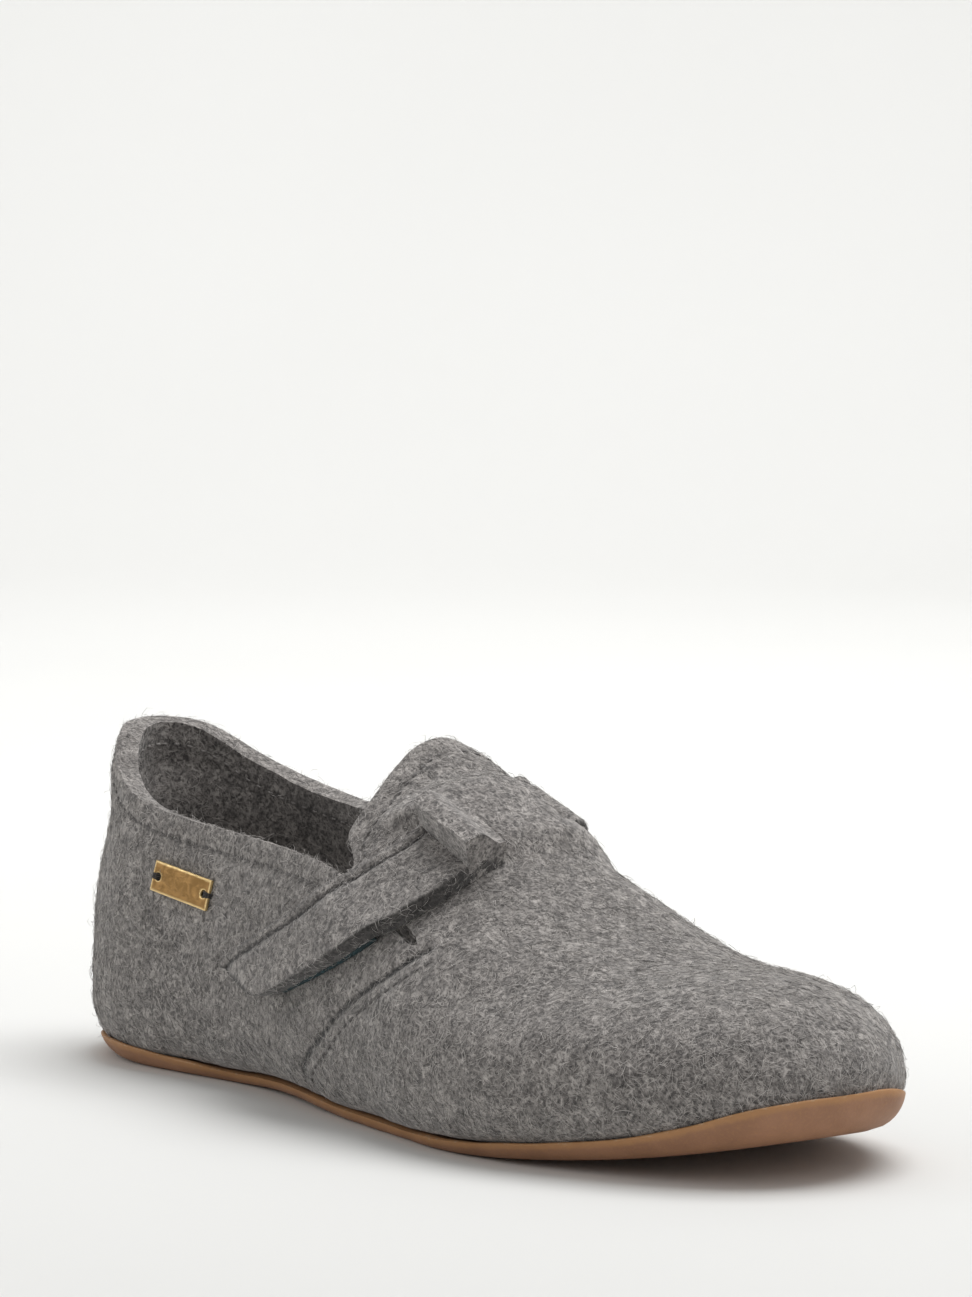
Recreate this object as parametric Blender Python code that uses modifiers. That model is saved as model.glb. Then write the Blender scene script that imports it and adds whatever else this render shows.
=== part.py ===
"""Felt slipper for the right foot: felt upper, wrap-up sole, insole, strap, hook tape and a bare brass plate.

Metres, +Z up. The toe points along -Y, the outer (lateral) side of the foot is -X, and the floor is z = 0.
Every form comes from one closed form of the foot, the last, which the functions below work out from the
named sizes and the short tables. A station is a share of the length, 0 at the heel and 1 at the toe.
"""
import math

import bmesh
import bpy
import numpy as np
from mathutils import Matrix, Vector
from mathutils.bvhtree import BVHTree

# Overall sizes of the shoe
LENGTH = 0.262
BALL_WIDTH = 0.090
INSTEP_HEIGHT = 0.084
TOE_HEIGHT = 0.041
HEEL_HEIGHT = 0.081
TOPLINE_HEIGHT = 0.058
BULGE_HEIGHT = 0.020
CORNER_RADIUS = 0.0095

# Sole and the way it stands
SOLE_THICKNESS = 0.0032
TOE_WRAP_HEIGHT = 0.0088
SOLE_LIP = 0.0008
TOE_SPRING = 0.0107
ARCH_RISE = 0.0010
SPRING_START = 0.66
ARCH_START, ARCH_END = 0.26, 0.52

# Felt
WALL = 0.0040
HEEL_WALL = 0.0055
HEEL_WALL_FRONT, HEEL_WALL_END = 0.06, 0.26
TURNED_IN = 0.009
INSOLE_THICKNESS = 0.0032
INSOLE_ROUNDING = 0.004
GAP = 0.0003
SOFT_GAP = 0.0005

# Slot beside the tongue, on both sides
SLOT_WIDTH = 0.0026
SLOT_LENGTH = 0.037
SLOT_DROP = math.radians(18)
SLOT_OVERRUN = 0.004

# Strap, the bridge of felt that it passes under, and its hook tape
STRAP_THICKNESS = 0.0042
STRAP_FREE_LENGTH = 0.080
STRAP_SEWN_LENGTH = 0.050
STRAP_CORNER = 0.0045
STRAP_SWING = 0.075
SWING_START, SWING_END = -0.08, 0.20
STRAP_CLEARANCE = 0.06
BRIDGE_WIDTH = 0.023
BRIDGE_RISE = 0.0032
BRIDGE_FADE = 0.006
BRIDGE_ENDS_IN, BRIDGE_ENDS_OUT = 0.002, 0.010
SLIT_LEAD = 0.001
SLIT_RAMP = 0.008
SLIT_MARGIN = 0.003
TAPE_LENGTH = 0.032
TAPE_SHARE = 0.85
TAPE_THICKNESS = 0.0014
TAPE_RAMP_START, TAPE_RAMP_END = 0.014, 0.002

# Brass plate
PLATE_LENGTH = 0.0222
PLATE_HEIGHT = 0.0074
PLATE_THICKNESS = 0.0008
PLATE_HOLE_RADIUS = 0.0010
PLATE_HOLE_INSET = 0.0021
PLATE_STATION = 0.236
PLATE_CENTRE_HEIGHT = 0.0465
PLATE_TILT = math.radians(7)

# Half widths of the last at its widest level, as shares of the ball width
WIDTH_ROWS = (
    # station, lateral, medial
    (0.00, 0.326, 0.317),
    (0.15, 0.363, 0.383),
    (0.30, 0.356, 0.392),
    (0.45, 0.428, 0.367),
    (0.58, 0.491, 0.422),
    (0.70, 0.533, 0.469),
    (0.84, 0.461, 0.537),
    (1.00, 0.444, 0.511),
)

# Height of the closed form along its ridge, as a share of the instep height plus a share of the toe height
RIDGE_ROWS = (
    # station, instep, toe
    (0.00, 1.500, 0.000),
    (0.25, 1.202, 0.000),
    (0.42, 1.048, 0.000),
    (0.54, 0.857, 0.000),
    (0.66, 0.652, 0.000),
    (0.78, 0.000, 1.035),
    (0.90, 0.000, 0.995),
    (1.00, 0.000, 0.870),
)

# Sides of the last: height of the widest level and the corner below it as shares of BULGE_HEIGHT and
# CORNER_RADIUS, the squareness of the arch above, and the ridge's place as a share of the ball width
SIDE_ROWS = (
    # station, bulge, corner, squareness, ridge
    (0.00, 0.68, 0.78, 1.85, -0.006),
    (0.28, 1.00, 1.00, 1.80, 0.022),
    (0.50, 0.95, 0.93, 1.87, 0.048),
    (0.75, 0.86, 0.98, 2.23, 0.053),
    (1.00, 0.43, 0.76, 2.65, 0.067),
)

# Round ends of the outline: how far each reaches as a share of the length, and its squareness
HEEL_END = (0.155, 2.06)
TOE_END = (0.255, 2.20)
RIDGE_START, RIDGE_END = 0.11, 0.84

# Collar, as a share of the rise from the topline to the heel height
COLLAR_ROWS = (
    # station, rise
    (-0.060, 1.03),
    (0.010, 1.01),
    (0.040, 0.93),
    (0.060, 0.79),
    (0.080, 0.62),
    (0.105, 0.47),
    (0.140, 0.34),
    (0.190, 0.22),
    (0.250, 0.14),
    (0.320, 0.085),
    (0.380, 0.045),
    (0.430, 0.00),
    (0.465, -0.06),
)

# Rear edge of the tongue from the slot upwards, heights as shares of the instep height
TONGUE_ROWS = (
    # station, height
    (0.4850, 0.662),
    (0.4880, 0.690),
    (0.4790, 0.722),
    (0.4670, 0.750),
    (0.4620, 0.785),
    (0.4630, 0.850),
    (0.4590, 0.930),
    (0.4520, 0.990),
    (0.4430, 1.060),
)

# Route of the strap's two edges down the side of the last, from the slit (0) to the free end (1):
# stations, and heights as shares of the instep height
STRAP_ROWS = (
    # along, upper station, upper height, lower station, lower height
    (0.00, 0.535, 0.835, 0.608, 0.722),
    (0.12, 0.543, 0.768, 0.613, 0.672),
    (0.33, 0.528, 0.692, 0.603, 0.599),
    (0.50, 0.499, 0.625, 0.578, 0.536),
    (0.67, 0.463, 0.544, 0.540, 0.463),
    (0.83, 0.406, 0.461, 0.487, 0.388),
    (1.00, 0.338, 0.370, 0.414, 0.304),
)

# Height of the sole's edge above the ground, as a share of TOE_WRAP_HEIGHT
SOLE_EDGE_ROWS = (
    # station, height
    (0.00, 0.50),
    (0.12, 0.60),
    (0.20, 0.44),
    (0.30, 0.30),
    (0.45, 0.33),
    (0.65, 0.31),
    (0.76, 0.44),
    (0.86, 0.53),
    (0.93, 0.68),
    (0.97, 0.90),
    (1.00, 1.00),
)

# Fineness of the lofts
SIDE_STEPS = 43
CORNER_STEPS = 5
ARCH_STEPS = 12
FAN_STEPS = 2
STRAP_STEP = 0.0036


def natural_spline(xs, ys):
    """A smooth function through the points, straight at both ends."""
    xs = np.asarray(xs, float)
    ys = np.asarray(ys, float)
    gaps = np.diff(xs)
    count = len(xs)
    system = np.eye(count)
    right = np.zeros(count)
    for i in range(1, count - 1):
        system[i, i - 1:i + 2] = gaps[i - 1], 2 * (gaps[i - 1] + gaps[i]), gaps[i]
        right[i] = 6 * ((ys[i + 1] - ys[i]) / gaps[i] - (ys[i] - ys[i - 1]) / gaps[i - 1])
    bend = np.linalg.solve(system, right)

    def value(x):
        x = np.clip(x, xs[0], xs[-1])
        i = np.clip(np.searchsorted(xs, x, side="right") - 1, 0, count - 2)
        a = (xs[i + 1] - x) / gaps[i]
        b = (x - xs[i]) / gaps[i]
        curve = ((a ** 3 - a) * bend[i] + (b ** 3 - b) * bend[i + 1]) * gaps[i] ** 2 / 6
        return a * ys[i] + b * ys[i + 1] + curve

    return value


def column(rows, index, size):
    return natural_spline([row[0] for row in rows], [row[index] * size for row in rows])


lateral_width = column(WIDTH_ROWS, 1, BALL_WIDTH)
medial_width = column(WIDTH_ROWS, 2, BALL_WIDTH)
ridge_height = natural_spline(
    [row[0] for row in RIDGE_ROWS],
    [row[1] * INSTEP_HEIGHT + row[2] * TOE_HEIGHT for row in RIDGE_ROWS])
bulge_height = column(SIDE_ROWS, 1, BULGE_HEIGHT)
corner_radius = column(SIDE_ROWS, 2, CORNER_RADIUS)
squareness = column(SIDE_ROWS, 3, 1.0)
ridge_place = column(SIDE_ROWS, 4, BALL_WIDTH)
collar_rise = column(COLLAR_ROWS, 1, HEEL_HEIGHT - TOPLINE_HEIGHT)
sole_edge_height = column(SOLE_EDGE_ROWS, 1, TOE_WRAP_HEIGHT)


def smooth_step(value, start, end):
    t = np.clip((value - start) / (end - start), 0.0, 1.0)
    return t * t * (3 - 2 * t)


def station_of(y):
    return 0.5 - (y - SOLE_THICKNESS / 2) / LENGTH


def place_of(station):
    """Place along Y; the half sole thickness keeps the whole shoe, wrapped toe included, over the origin."""
    return LENGTH * (0.5 - station) + SOLE_THICKNESS / 2


def ground(station):
    """Height of the sole's underside: toe spring in front, a slight arch at the waist, 0 elsewhere."""
    toe = np.clip((station - SPRING_START) / (1 - SPRING_START), 0.0, None)
    waist = np.clip((station - ARCH_START) / (ARCH_END - ARCH_START), 0.0, 1.0)
    return TOE_SPRING * toe ** 2 + ARCH_RISE * np.sin(math.pi * waist) ** 2


def round_ends(station):
    """Share of the full half width that is left near the heel and the toe."""
    reach, power = HEEL_END
    heel = 1 - np.clip(1 - station / reach, 0.0, 1.0) ** power
    toe_reach, toe_power = TOE_END
    toe = 1 - np.clip((station - 1 + toe_reach) / toe_reach, 0.0, 1.0) ** toe_power
    return np.clip(heel, 0, 1) ** (1 / power) * np.clip(toe, 0, 1) ** (1 / toe_power)


def side_lines(side, steps):
    """Stations of the lines that run up one side, their outer ends and their ends on the ridge."""
    turn = np.linspace(0.0, 1.0, steps + 1)
    station = (1 - np.cos(math.pi * turn)) / 2
    middle = (medial_width(station) - lateral_width(station)) / 2
    half = (medial_width(station) + lateral_width(station)) / 2
    outer = np.stack([middle + side * half * round_ends(station), place_of(station)], -1)
    top_station = RIDGE_START + (RIDGE_END - RIDGE_START) * station
    inner = np.stack([ridge_place(top_station), place_of(top_station)], -1)
    return station, outer, inner


def arch_row(side, steps, angle):
    """Points of one side of the last above its widest level, at one angle from 0 (side) to 90 degrees (ridge)."""
    station, outer, inner = side_lines(side, steps)
    power = squareness(station)
    across = 1 - max(math.cos(angle), 0.0) ** (2 / power)
    up = math.sin(angle) ** (2 / power)
    plan = outer + (inner - outer) * across[:, None]
    base = bulge_height(station) + ground(station)
    height = base + (ridge_height(station_of(plan[:, 1])) - base) * up
    return np.column_stack([plan, height])


def corner_row(side, steps, angle, offset, height=None):
    """Points below the widest level, at one angle from -90 (underneath) to 0 degrees, offset outwards.

    A height array in place of the angle gives the row at that height above the ground.
    """
    station, outer, inner = side_lines(side, steps)
    away = outer - inner
    away /= np.linalg.norm(away, axis=1)[:, None]
    level = bulge_height(station)
    depth = level - SOLE_THICKNESS + offset
    if height is not None:
        angle = np.arcsin(np.clip((height - level) / depth, -1.0, 0.0))
    radius = corner_radius(station)
    reach = -radius + (radius + offset) * np.cos(angle)
    plan = outer + away * reach[:, None]
    return np.column_stack([plan, level + ground(station_of(plan[:, 1])) + depth * np.sin(angle)])


def under_row(side, steps, share, inset, height):
    """Points of a level face: an inset from the corner's inner edge, then a share of the way to the middle."""
    station, outer, inner = side_lines(side, steps)
    away = outer - inner
    length = np.linalg.norm(away, axis=1)
    away /= length[:, None]
    start = corner_radius(station) + inset
    reach = start + (length - start) * share
    plan = outer - away * reach[:, None]
    return np.column_stack([plan, height + ground(station_of(plan[:, 1]))])


def ring(row, steps=SIDE_STEPS):
    """One closed ring around the shoe, lateral side from heel to toe and back along the medial side."""
    lateral = row(-1, steps)
    medial = row(1, steps)
    return np.concatenate([lateral, medial[-2:0:-1]])


def loft(rings, start_fan=False, end_fan=False, steps=SIDE_STEPS):
    """Vertices and faces between closed rings; a fan closes a ring onto a line along the shoe's middle."""
    size = len(rings[0])
    vertices = []
    index_rows = []
    for number, points in enumerate(rings):
        fan = (start_fan and number == 0) or (end_fan and number == len(rings) - 1)
        first = len(vertices)
        if fan:
            vertices.extend(points[:steps + 1])
            index_rows.append([first + (k if k <= steps else size - k) for k in range(size)])
        else:
            vertices.extend(points)
            index_rows.append([first + k for k in range(size)])
    faces = []
    for low, high in zip(index_rows, index_rows[1:]):
        for k in range(size):
            after = (k + 1) % size
            face = []
            for corner in (low[k], high[k], high[after], low[after]):
                if corner not in face:
                    face.append(corner)
            if len(face) > 2:
                faces.append(face)
    return vertices, faces


def last_rings(steps=SIDE_STEPS, arches=ARCH_STEPS):
    """Rings of the last from the widest level up to the ridge."""
    angles = [math.pi / 2 * k / arches for k in range(arches + 1)]
    return [ring(lambda side, count, a=angle: arch_row(side, count, a), steps) for angle in angles]


def fine_last():
    """The last as a fine surface that bands, plates and cuts are laid on."""
    steps = 160
    rings = last_rings(steps, 48)
    low = [ring(lambda side, count, a=angle: corner_row(side, count, a, 0.0), steps)
           for angle in (-1.2, -0.9, -0.6, -0.3)]
    vertices, faces = loft(low + rings, end_fan=True, steps=steps)
    return BVHTree.FromPolygons([Vector(v) for v in vertices], faces)


LAST = fine_last()


def on_last(point):
    """Nearest point of the last, and the outward direction there."""
    place, normal, _, _ = LAST.find_nearest(point)
    if normal.dot(place - Vector((0.0, place.y, BULGE_HEIGHT))) < 0:
        normal = -normal
    return place, normal


def seen_from_side(side, station, height):
    """The point of the last at a station and height, as seen from one side."""
    y = place_of(station)
    place, _, _, _ = LAST.ray_cast(Vector((side * BALL_WIDTH, y, height)), Vector((-side, 0.0, 0.0)))
    if place is None:
        place = Vector((float(ridge_place(station)), y, height))
    return place


STRAP_ROUTE = [natural_spline([row[0] for row in STRAP_ROWS], [row[k] for row in STRAP_ROWS]) for k in (1, 2, 3, 4)]


def strap_edges(along):
    """Upper and lower edge of the strap on the last; along is measured from its middle, > 0 laterally."""
    half = BRIDGE_WIDTH / 2
    side = -1 if along > 0 else 1
    down = max(abs(along) - half, 0.0) / STRAP_FREE_LENGTH
    upper, high, lower, low = (float(route(down)) for route in STRAP_ROUTE)
    swing = STRAP_SWING * float(smooth_step(down, SWING_START, SWING_END)) if side > 0 else 0.0
    ends = ((upper - swing, high * INSTEP_HEIGHT), (lower - swing, low * INSTEP_HEIGHT))
    edges = [seen_from_side(side, *end) for end in ends]
    if abs(along) < half:
        share = (1 - abs(along) / half) / 2
        edges = [edge.lerp(seen_from_side(-side, *end), share) for edge, end in zip(edges, ends)]
    return edges


def strap_height(along):
    """Height of the strap's middle layer above the last: down under the bridge, up over its tape."""
    rest = SOFT_GAP + STRAP_THICKNESS / 2
    under = BRIDGE_RISE - WALL - SOFT_GAP - STRAP_THICKNESS / 2
    outside = smooth_step(abs(along), BRIDGE_WIDTH / 2 - SLIT_LEAD, BRIDGE_WIDTH / 2 + SLIT_RAMP)
    tape_start = BRIDGE_WIDTH / 2 + STRAP_FREE_LENGTH - TAPE_LENGTH
    over_tape = smooth_step(along, tape_start - TAPE_RAMP_START, tape_start - TAPE_RAMP_END)
    return under + (rest - under) * float(outside) + (TAPE_THICKNESS + GAP) * float(over_tape)


def strap_layer(along, share, height):
    """A point over the strap's route: a share of the way from its upper to its lower edge, above the last."""
    upper, lower = strap_edges(along)
    place, normal = on_last(upper.lerp(lower, share))
    return place + normal * height


def band_sections(start, end, shares_at, thickness, height_at, lanes=4):
    """Closed sections of a flat band that follows the strap's route, between two shares of its width."""
    count = max(2, round((end - start) / STRAP_STEP))
    sections = []
    for k in range(count + 1):
        along = start + (end - start) * k / count
        before = along - STRAP_STEP / 4
        after = along + STRAP_STEP / 4
        first, last = shares_at(along)
        middles = []
        ups = []
        for lane in range(lanes + 1):
            share = first + (last - first) * lane / lanes
            middle = strap_layer(along, share, height_at(along))
            forward = strap_layer(after, share, height_at(after)) - strap_layer(before, share, height_at(before))
            sideways = strap_layer(along, share + 0.05, height_at(along)) - middle
            up = sideways.cross(forward).normalized()
            if up.dot(on_last(middle)[1]) < 0:
                up = -up
            middles.append(middle)
            ups.append(up * thickness / 2)
        top = [middle + up for middle, up in zip(middles, ups)]
        bottom = [middle - up for middle, up in zip(middles, ups)]
        sections.append(top + bottom[::-1])
    return sections


def object_from(name, vertices, faces, collection, material=None):
    mesh = bpy.data.meshes.new(name)
    mesh.from_pydata([tuple(v) for v in vertices], [], faces)
    form = bmesh.new()
    form.from_mesh(mesh)
    bmesh.ops.recalc_face_normals(form, faces=form.faces)
    form.to_mesh(mesh)
    form.free()
    mesh.shade_smooth()
    mesh.set_sharp_from_angle(angle=math.radians(40))
    made = bpy.data.objects.new(name, mesh)
    collection.objects.link(made)
    if material:
        mesh.materials.append(material)
    return made


def band_object(name, sections, collection, material=None):
    """A closed body through the sections, with flat ends."""
    size = len(sections[0])
    vertices = [point for section in sections for point in section]
    faces = []
    for row in range(len(sections) - 1):
        for k in range(size):
            after = (k + 1) % size
            faces.append([row * size + k, row * size + after, (row + 1) * size + after, (row + 1) * size + k])
    lanes = size // 2 - 1
    for row in (0, len(sections) - 1):
        for lane in range(lanes):
            low = row * size + lane
            high = row * size + size - 1 - lane
            faces.append([low, low + 1, high - 1, high])
    return object_from(name, vertices, faces, collection, material)


def prism(name, outline, low_x, high_x, collection):
    """A cutter: an outline in the side view, carried across the shoe."""
    form = bmesh.new()
    face = form.faces.new([form.verts.new((low_x, y, z)) for y, z in outline])
    grown = bmesh.ops.extrude_face_region(form, geom=[face])
    moved = [item for item in grown["geom"] if isinstance(item, bmesh.types.BMVert)]
    bmesh.ops.translate(form, verts=moved, vec=(high_x - low_x, 0, 0))
    bmesh.ops.recalc_face_normals(form, faces=form.faces)
    mesh = bpy.data.meshes.new(name)
    form.to_mesh(mesh)
    form.free()
    cutter = bpy.data.objects.new(name, mesh)
    collection.objects.link(cutter)
    return hide_cutter(cutter)


def hide_cutter(cutter):
    cutter.hide_render = True
    cutter.display_type = "WIRE"
    return cutter


def cut(body, cutter):
    modifier = body.modifiers.new("cut " + cutter.name, "BOOLEAN")
    modifier.operation = "DIFFERENCE"
    modifier.solver = "EXACT"
    modifier.object = cutter


def material(name, color, roughness, metallic=0.0):
    made = bpy.data.materials.new(name)
    made.use_nodes = True
    shader = made.node_tree.nodes["Principled BSDF"]
    shader.inputs["Base Color"].default_value = (*color, 1.0)
    shader.inputs["Roughness"].default_value = roughness
    shader.inputs["Metallic"].default_value = metallic
    return made


def rounded_path(points, between=4):
    """Points of a smooth curve through the given ones."""
    points = np.asarray(points, float)
    index = np.arange(len(points))
    curves = [natural_spline(index, points[:, axis]) for axis in range(points.shape[1])]
    where = np.linspace(0, len(points) - 1, between * (len(points) - 1) + 1)
    return np.column_stack([curve(where) for curve in curves])


def collar_outline():
    """Side view of what the foot opening takes away: collar, the foot of the slot, the tongue's rear edge."""
    first, last = COLLAR_ROWS[0][0], COLLAR_ROWS[-1][0]
    stations = np.concatenate([np.linspace(first, 0.15, 16), np.linspace(0.175, last, 13)])
    collar = [(place_of(s), TOPLINE_HEIGHT + float(collar_rise(s))) for s in stations]
    tongue = rounded_path([(place_of(s), share * INSTEP_HEIGHT) for s, share in TONGUE_ROWS], 3)
    roof = 1.9 * INSTEP_HEIGHT
    return collar + [tuple(p) for p in tongue] + [(tongue[-1][0], roof), (collar[0][0], roof)]


def slot_outline():
    """Side view of the slot: two straight sides and a round end, from inside the foot opening."""
    foot = Vector((place_of(TONGUE_ROWS[0][0]), TONGUE_ROWS[0][1] * INSTEP_HEIGHT))
    run = Vector((-math.cos(SLOT_DROP), -math.sin(SLOT_DROP)))
    side = Vector((-run.y, run.x)) * SLOT_WIDTH / 2
    back = foot - run * SLOT_OVERRUN
    end = foot + run * SLOT_LENGTH
    outline = [back + side, back - side]
    for k in range(9):
        turn = math.pi * k / 8
        outline.append(end - side * math.cos(turn) + run * SLOT_WIDTH / 2 * math.sin(turn))
    return [tuple(p) for p in outline]


def bridge_frame():
    """Middle of the felt bridge on the last, its direction across the foot and its direction along it."""
    near = strap_edges(BRIDGE_WIDTH / 2)
    far = strap_edges(-BRIDGE_WIDTH / 2)
    across = (near[0] + near[1] - far[0] - far[1]).normalized()
    length = (near[0] + far[0] - near[1] - far[1]) / 2
    middle, _ = on_last((near[0] + near[1] + far[0] + far[1]) / 4)
    return middle, across, length


def bridge_rise_at(point, frame):
    """How far the felt between the slits is lifted by the strap below it."""
    middle, across, length = frame
    away = Vector(point) - middle
    half = length.length / 2
    sideways = 1 - smooth_step(abs(away.dot(across)), BRIDGE_WIDTH / 2, BRIDGE_WIDTH / 2 + BRIDGE_FADE)
    lengthways = 1 - smooth_step(
        abs(away.dot(length.normalized())), half - BRIDGE_ENDS_IN, half + BRIDGE_ENDS_OUT)
    return BRIDGE_RISE * float(sideways) * float(lengthways)


def build_upper(parts, cutters, felt):
    """One hollow felt shell, open at the foot opening, at the slots and slits, and underneath."""
    rings = [ring(lambda side, steps: under_row(side, steps, 0.0, TURNED_IN, SOLE_THICKNESS))]
    for k in range(CORNER_STEPS):
        angle = -math.pi / 2 * (1 - k / CORNER_STEPS)
        rings.append(ring(lambda side, steps, a=angle: corner_row(side, steps, a, 0.0)))
    rings += last_rings()
    vertices, faces = loft(rings, end_fan=True)
    frame = bridge_frame()
    lifted = []
    for vertex in vertices:
        rise = bridge_rise_at(vertex, frame) if vertex[2] > BULGE_HEIGHT * 2 else 0.0
        normal = on_last(Vector(vertex))[1] if rise else Vector()
        lifted.append(Vector(vertex) + normal * rise)
    upper = object_from("upper", lifted, faces, parts, felt)

    # The wall is thicker around the collar at the heel, where a second layer is sewn in
    group = upper.vertex_groups.new(name="wall")
    for vertex in upper.data.vertices:
        high = float(smooth_step(vertex.co.z, BULGE_HEIGHT * 1.5, TOPLINE_HEIGHT))
        rear = 1 - float(smooth_step(station_of(vertex.co.y), HEEL_WALL_FRONT, HEEL_WALL_END))
        wall = WALL + (HEEL_WALL - WALL) * high * rear
        group.add([vertex.index], wall / HEEL_WALL, "REPLACE")
    shell = upper.modifiers.new("felt wall", "SOLIDIFY")
    shell.thickness = HEEL_WALL
    shell.offset = -1.0
    shell.vertex_group = "wall"
    shell.use_quality_normals = True

    reach = BALL_WIDTH
    cut(upper, prism("foot_opening_cutter", collar_outline(), -reach, reach, cutters))
    cut(upper, prism("slot_cutter", slot_outline(), -reach, reach, cutters))
    passage = BRIDGE_WIDTH / 2 + SLIT_RAMP + SLIT_MARGIN
    sections = band_sections(
        -passage, passage, lambda along: (-STRAP_CLEARANCE, 1 + STRAP_CLEARANCE),
        STRAP_THICKNESS + 2 * SOFT_GAP * 0.9, strap_height)
    cut(upper, hide_cutter(band_object("strap_passage_cutter", sections, cutters)))
    return upper


def build_sole(parts, rubber):
    """A sheet that closes the upper underneath and wraps up around its edge."""
    inside = SOLE_THICKNESS - GAP

    def side_at(side, steps, offset, low, share):
        """A share of the way up from a low level to the sole's edge."""
        edge = sole_edge_height(side_lines(side, steps)[0])
        start = np.minimum(low, edge)
        return corner_row(side, steps, 0.0, offset, start + (edge - start) * share)

    rings = []
    for k in range(FAN_STEPS + 1):
        rings.append(ring(lambda side, steps, f=1 - k / FAN_STEPS: under_row(side, steps, f, 0.0, 0.0)))
    for share in (0.18, 0.5, 0.8, 1.0):
        offset = SOLE_THICKNESS + (SOLE_LIP + GAP - SOLE_THICKNESS) * share
        rings.append(ring(lambda side, steps, o=offset, f=share: side_at(side, steps, o, 0.0, f)))
    for share in (1.0, 0.75, 0.5, 0.25, 0.1):
        rings.append(ring(lambda side, steps, f=share: side_at(side, steps, GAP, inside, f)))
    for k in range(FAN_STEPS + 1):
        rings.append(ring(lambda side, steps, f=k / FAN_STEPS: under_row(side, steps, f, 0.0, inside)))
    vertices, faces = loft(rings, start_fan=True, end_fan=True)
    return object_from("outsole", vertices, faces, parts, rubber)


def build_insole(parts, felt):
    """A felt footbed: its underside fills the space inside the turned-in edge of the upper."""
    low = SOLE_THICKNESS + GAP
    step = SOLE_THICKNESS + WALL + SOFT_GAP
    top = step + INSOLE_THICKNESS
    inner = TURNED_IN + 3 * SOFT_GAP
    inside = -(WALL + 3 * SOFT_GAP)
    rings = [
        ring(lambda side, steps: under_row(side, steps, 1.0, inner, low)),
        ring(lambda side, steps: under_row(side, steps, 0.0, inner, low)),
        ring(lambda side, steps: under_row(side, steps, 0.0, inner, step)),
        ring(lambda side, steps: under_row(side, steps, 0.0, 0.0, step)),
    ]
    for share in (0.3, 1.0):
        height = step + (top - step) * share
        rings.append(ring(lambda side, steps, h=height: corner_row(side, steps, 0.0, inside, h)))
    rings.append(ring(lambda side, steps: under_row(side, steps, 0.0, INSOLE_ROUNDING, top)))
    rings.append(ring(lambda side, steps: under_row(side, steps, 1.0, INSOLE_ROUNDING, top)))
    vertices, faces = loft(rings, start_fan=True, end_fan=True)
    return object_from("insole", vertices, faces, parts, felt)


def strap_shares_at(along):
    """Shares of the strap's width that it fills: all, less the round corners at both ends."""
    free = BRIDGE_WIDTH / 2 + STRAP_FREE_LENGTH - along
    sewn = BRIDGE_WIDTH / 2 + STRAP_SEWN_LENGTH + along
    left = min(free, sewn, STRAP_CORNER)
    shorter = STRAP_CORNER - math.sqrt(max(STRAP_CORNER ** 2 - (STRAP_CORNER - left) ** 2, 0.0))
    upper, lower = strap_edges(along)
    trim = shorter / (upper - lower).length
    return trim, 1 - trim


def build_strap(parts, felt):
    """One felt band: sewn to the medial side, under the bridge through both slits, down the lateral side."""
    start = -(BRIDGE_WIDTH / 2 + STRAP_SEWN_LENGTH)
    end = BRIDGE_WIDTH / 2 + STRAP_FREE_LENGTH
    sections = band_sections(start + GAP, end - GAP, strap_shares_at, STRAP_THICKNESS, strap_height)
    return band_object("strap", sections, parts, felt)


def build_tape(parts, cloth):
    """Hook tape between the free end of the strap and the quarter."""
    end = BRIDGE_WIDTH / 2 + STRAP_FREE_LENGTH - STRAP_CORNER
    height = SOFT_GAP * 0.8 + TAPE_THICKNESS / 2
    sections = band_sections(
        end - TAPE_LENGTH, end, lambda along: (1 - TAPE_SHARE, 0.98), TAPE_THICKNESS, lambda along: height)
    return band_object("hook_tape", sections, parts, cloth)


def build_plate(parts, cutters, brass):
    """A bare brass plate with a sewing hole near each end, flat against the lateral side of the heel."""
    place, normal = on_last(seen_from_side(-1, PLATE_STATION, PLATE_CENTRE_HEIGHT))
    along = Vector((0.0, -1.0, 0.0))
    along = (along - normal * along.dot(normal)).normalized()
    along = Matrix.Rotation(-PLATE_TILT, 3, normal) @ along
    if along.z > 0:
        along.z = -along.z
        along = (along - normal * along.dot(normal)).normalized()
    up = normal.cross(along).normalized()
    turn = Matrix((along, up, normal)).transposed().to_4x4()
    lift = SOFT_GAP + PLATE_THICKNESS / 2
    frame = Matrix.Translation(place + normal * lift) @ turn

    form = bmesh.new()
    bmesh.ops.create_cube(form, size=1.0)
    bmesh.ops.scale(form, vec=(PLATE_LENGTH, PLATE_HEIGHT, PLATE_THICKNESS), verts=form.verts)
    mesh = bpy.data.meshes.new("brass_plate")
    form.to_mesh(mesh)
    form.free()
    mesh.materials.append(brass)
    plate = bpy.data.objects.new("brass_plate", mesh)
    parts.objects.link(plate)
    plate.matrix_world = frame
    for name, direction in (("rear", -1), ("front", 1)):
        hole = bmesh.new()
        bmesh.ops.create_cone(
            hole, cap_ends=True, segments=16, radius1=PLATE_HOLE_RADIUS, radius2=PLATE_HOLE_RADIUS,
            depth=PLATE_THICKNESS * 4)
        cutter_mesh = bpy.data.meshes.new("plate_hole_" + name)
        hole.to_mesh(cutter_mesh)
        hole.free()
        cutter = bpy.data.objects.new("plate_hole_" + name, cutter_mesh)
        cutters.objects.link(hide_cutter(cutter))
        offset = direction * (PLATE_LENGTH / 2 - PLATE_HOLE_INSET)
        cutter.matrix_world = frame @ Matrix.Translation((offset, 0, 0))
        cut(plate, cutter)
    return plate


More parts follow.
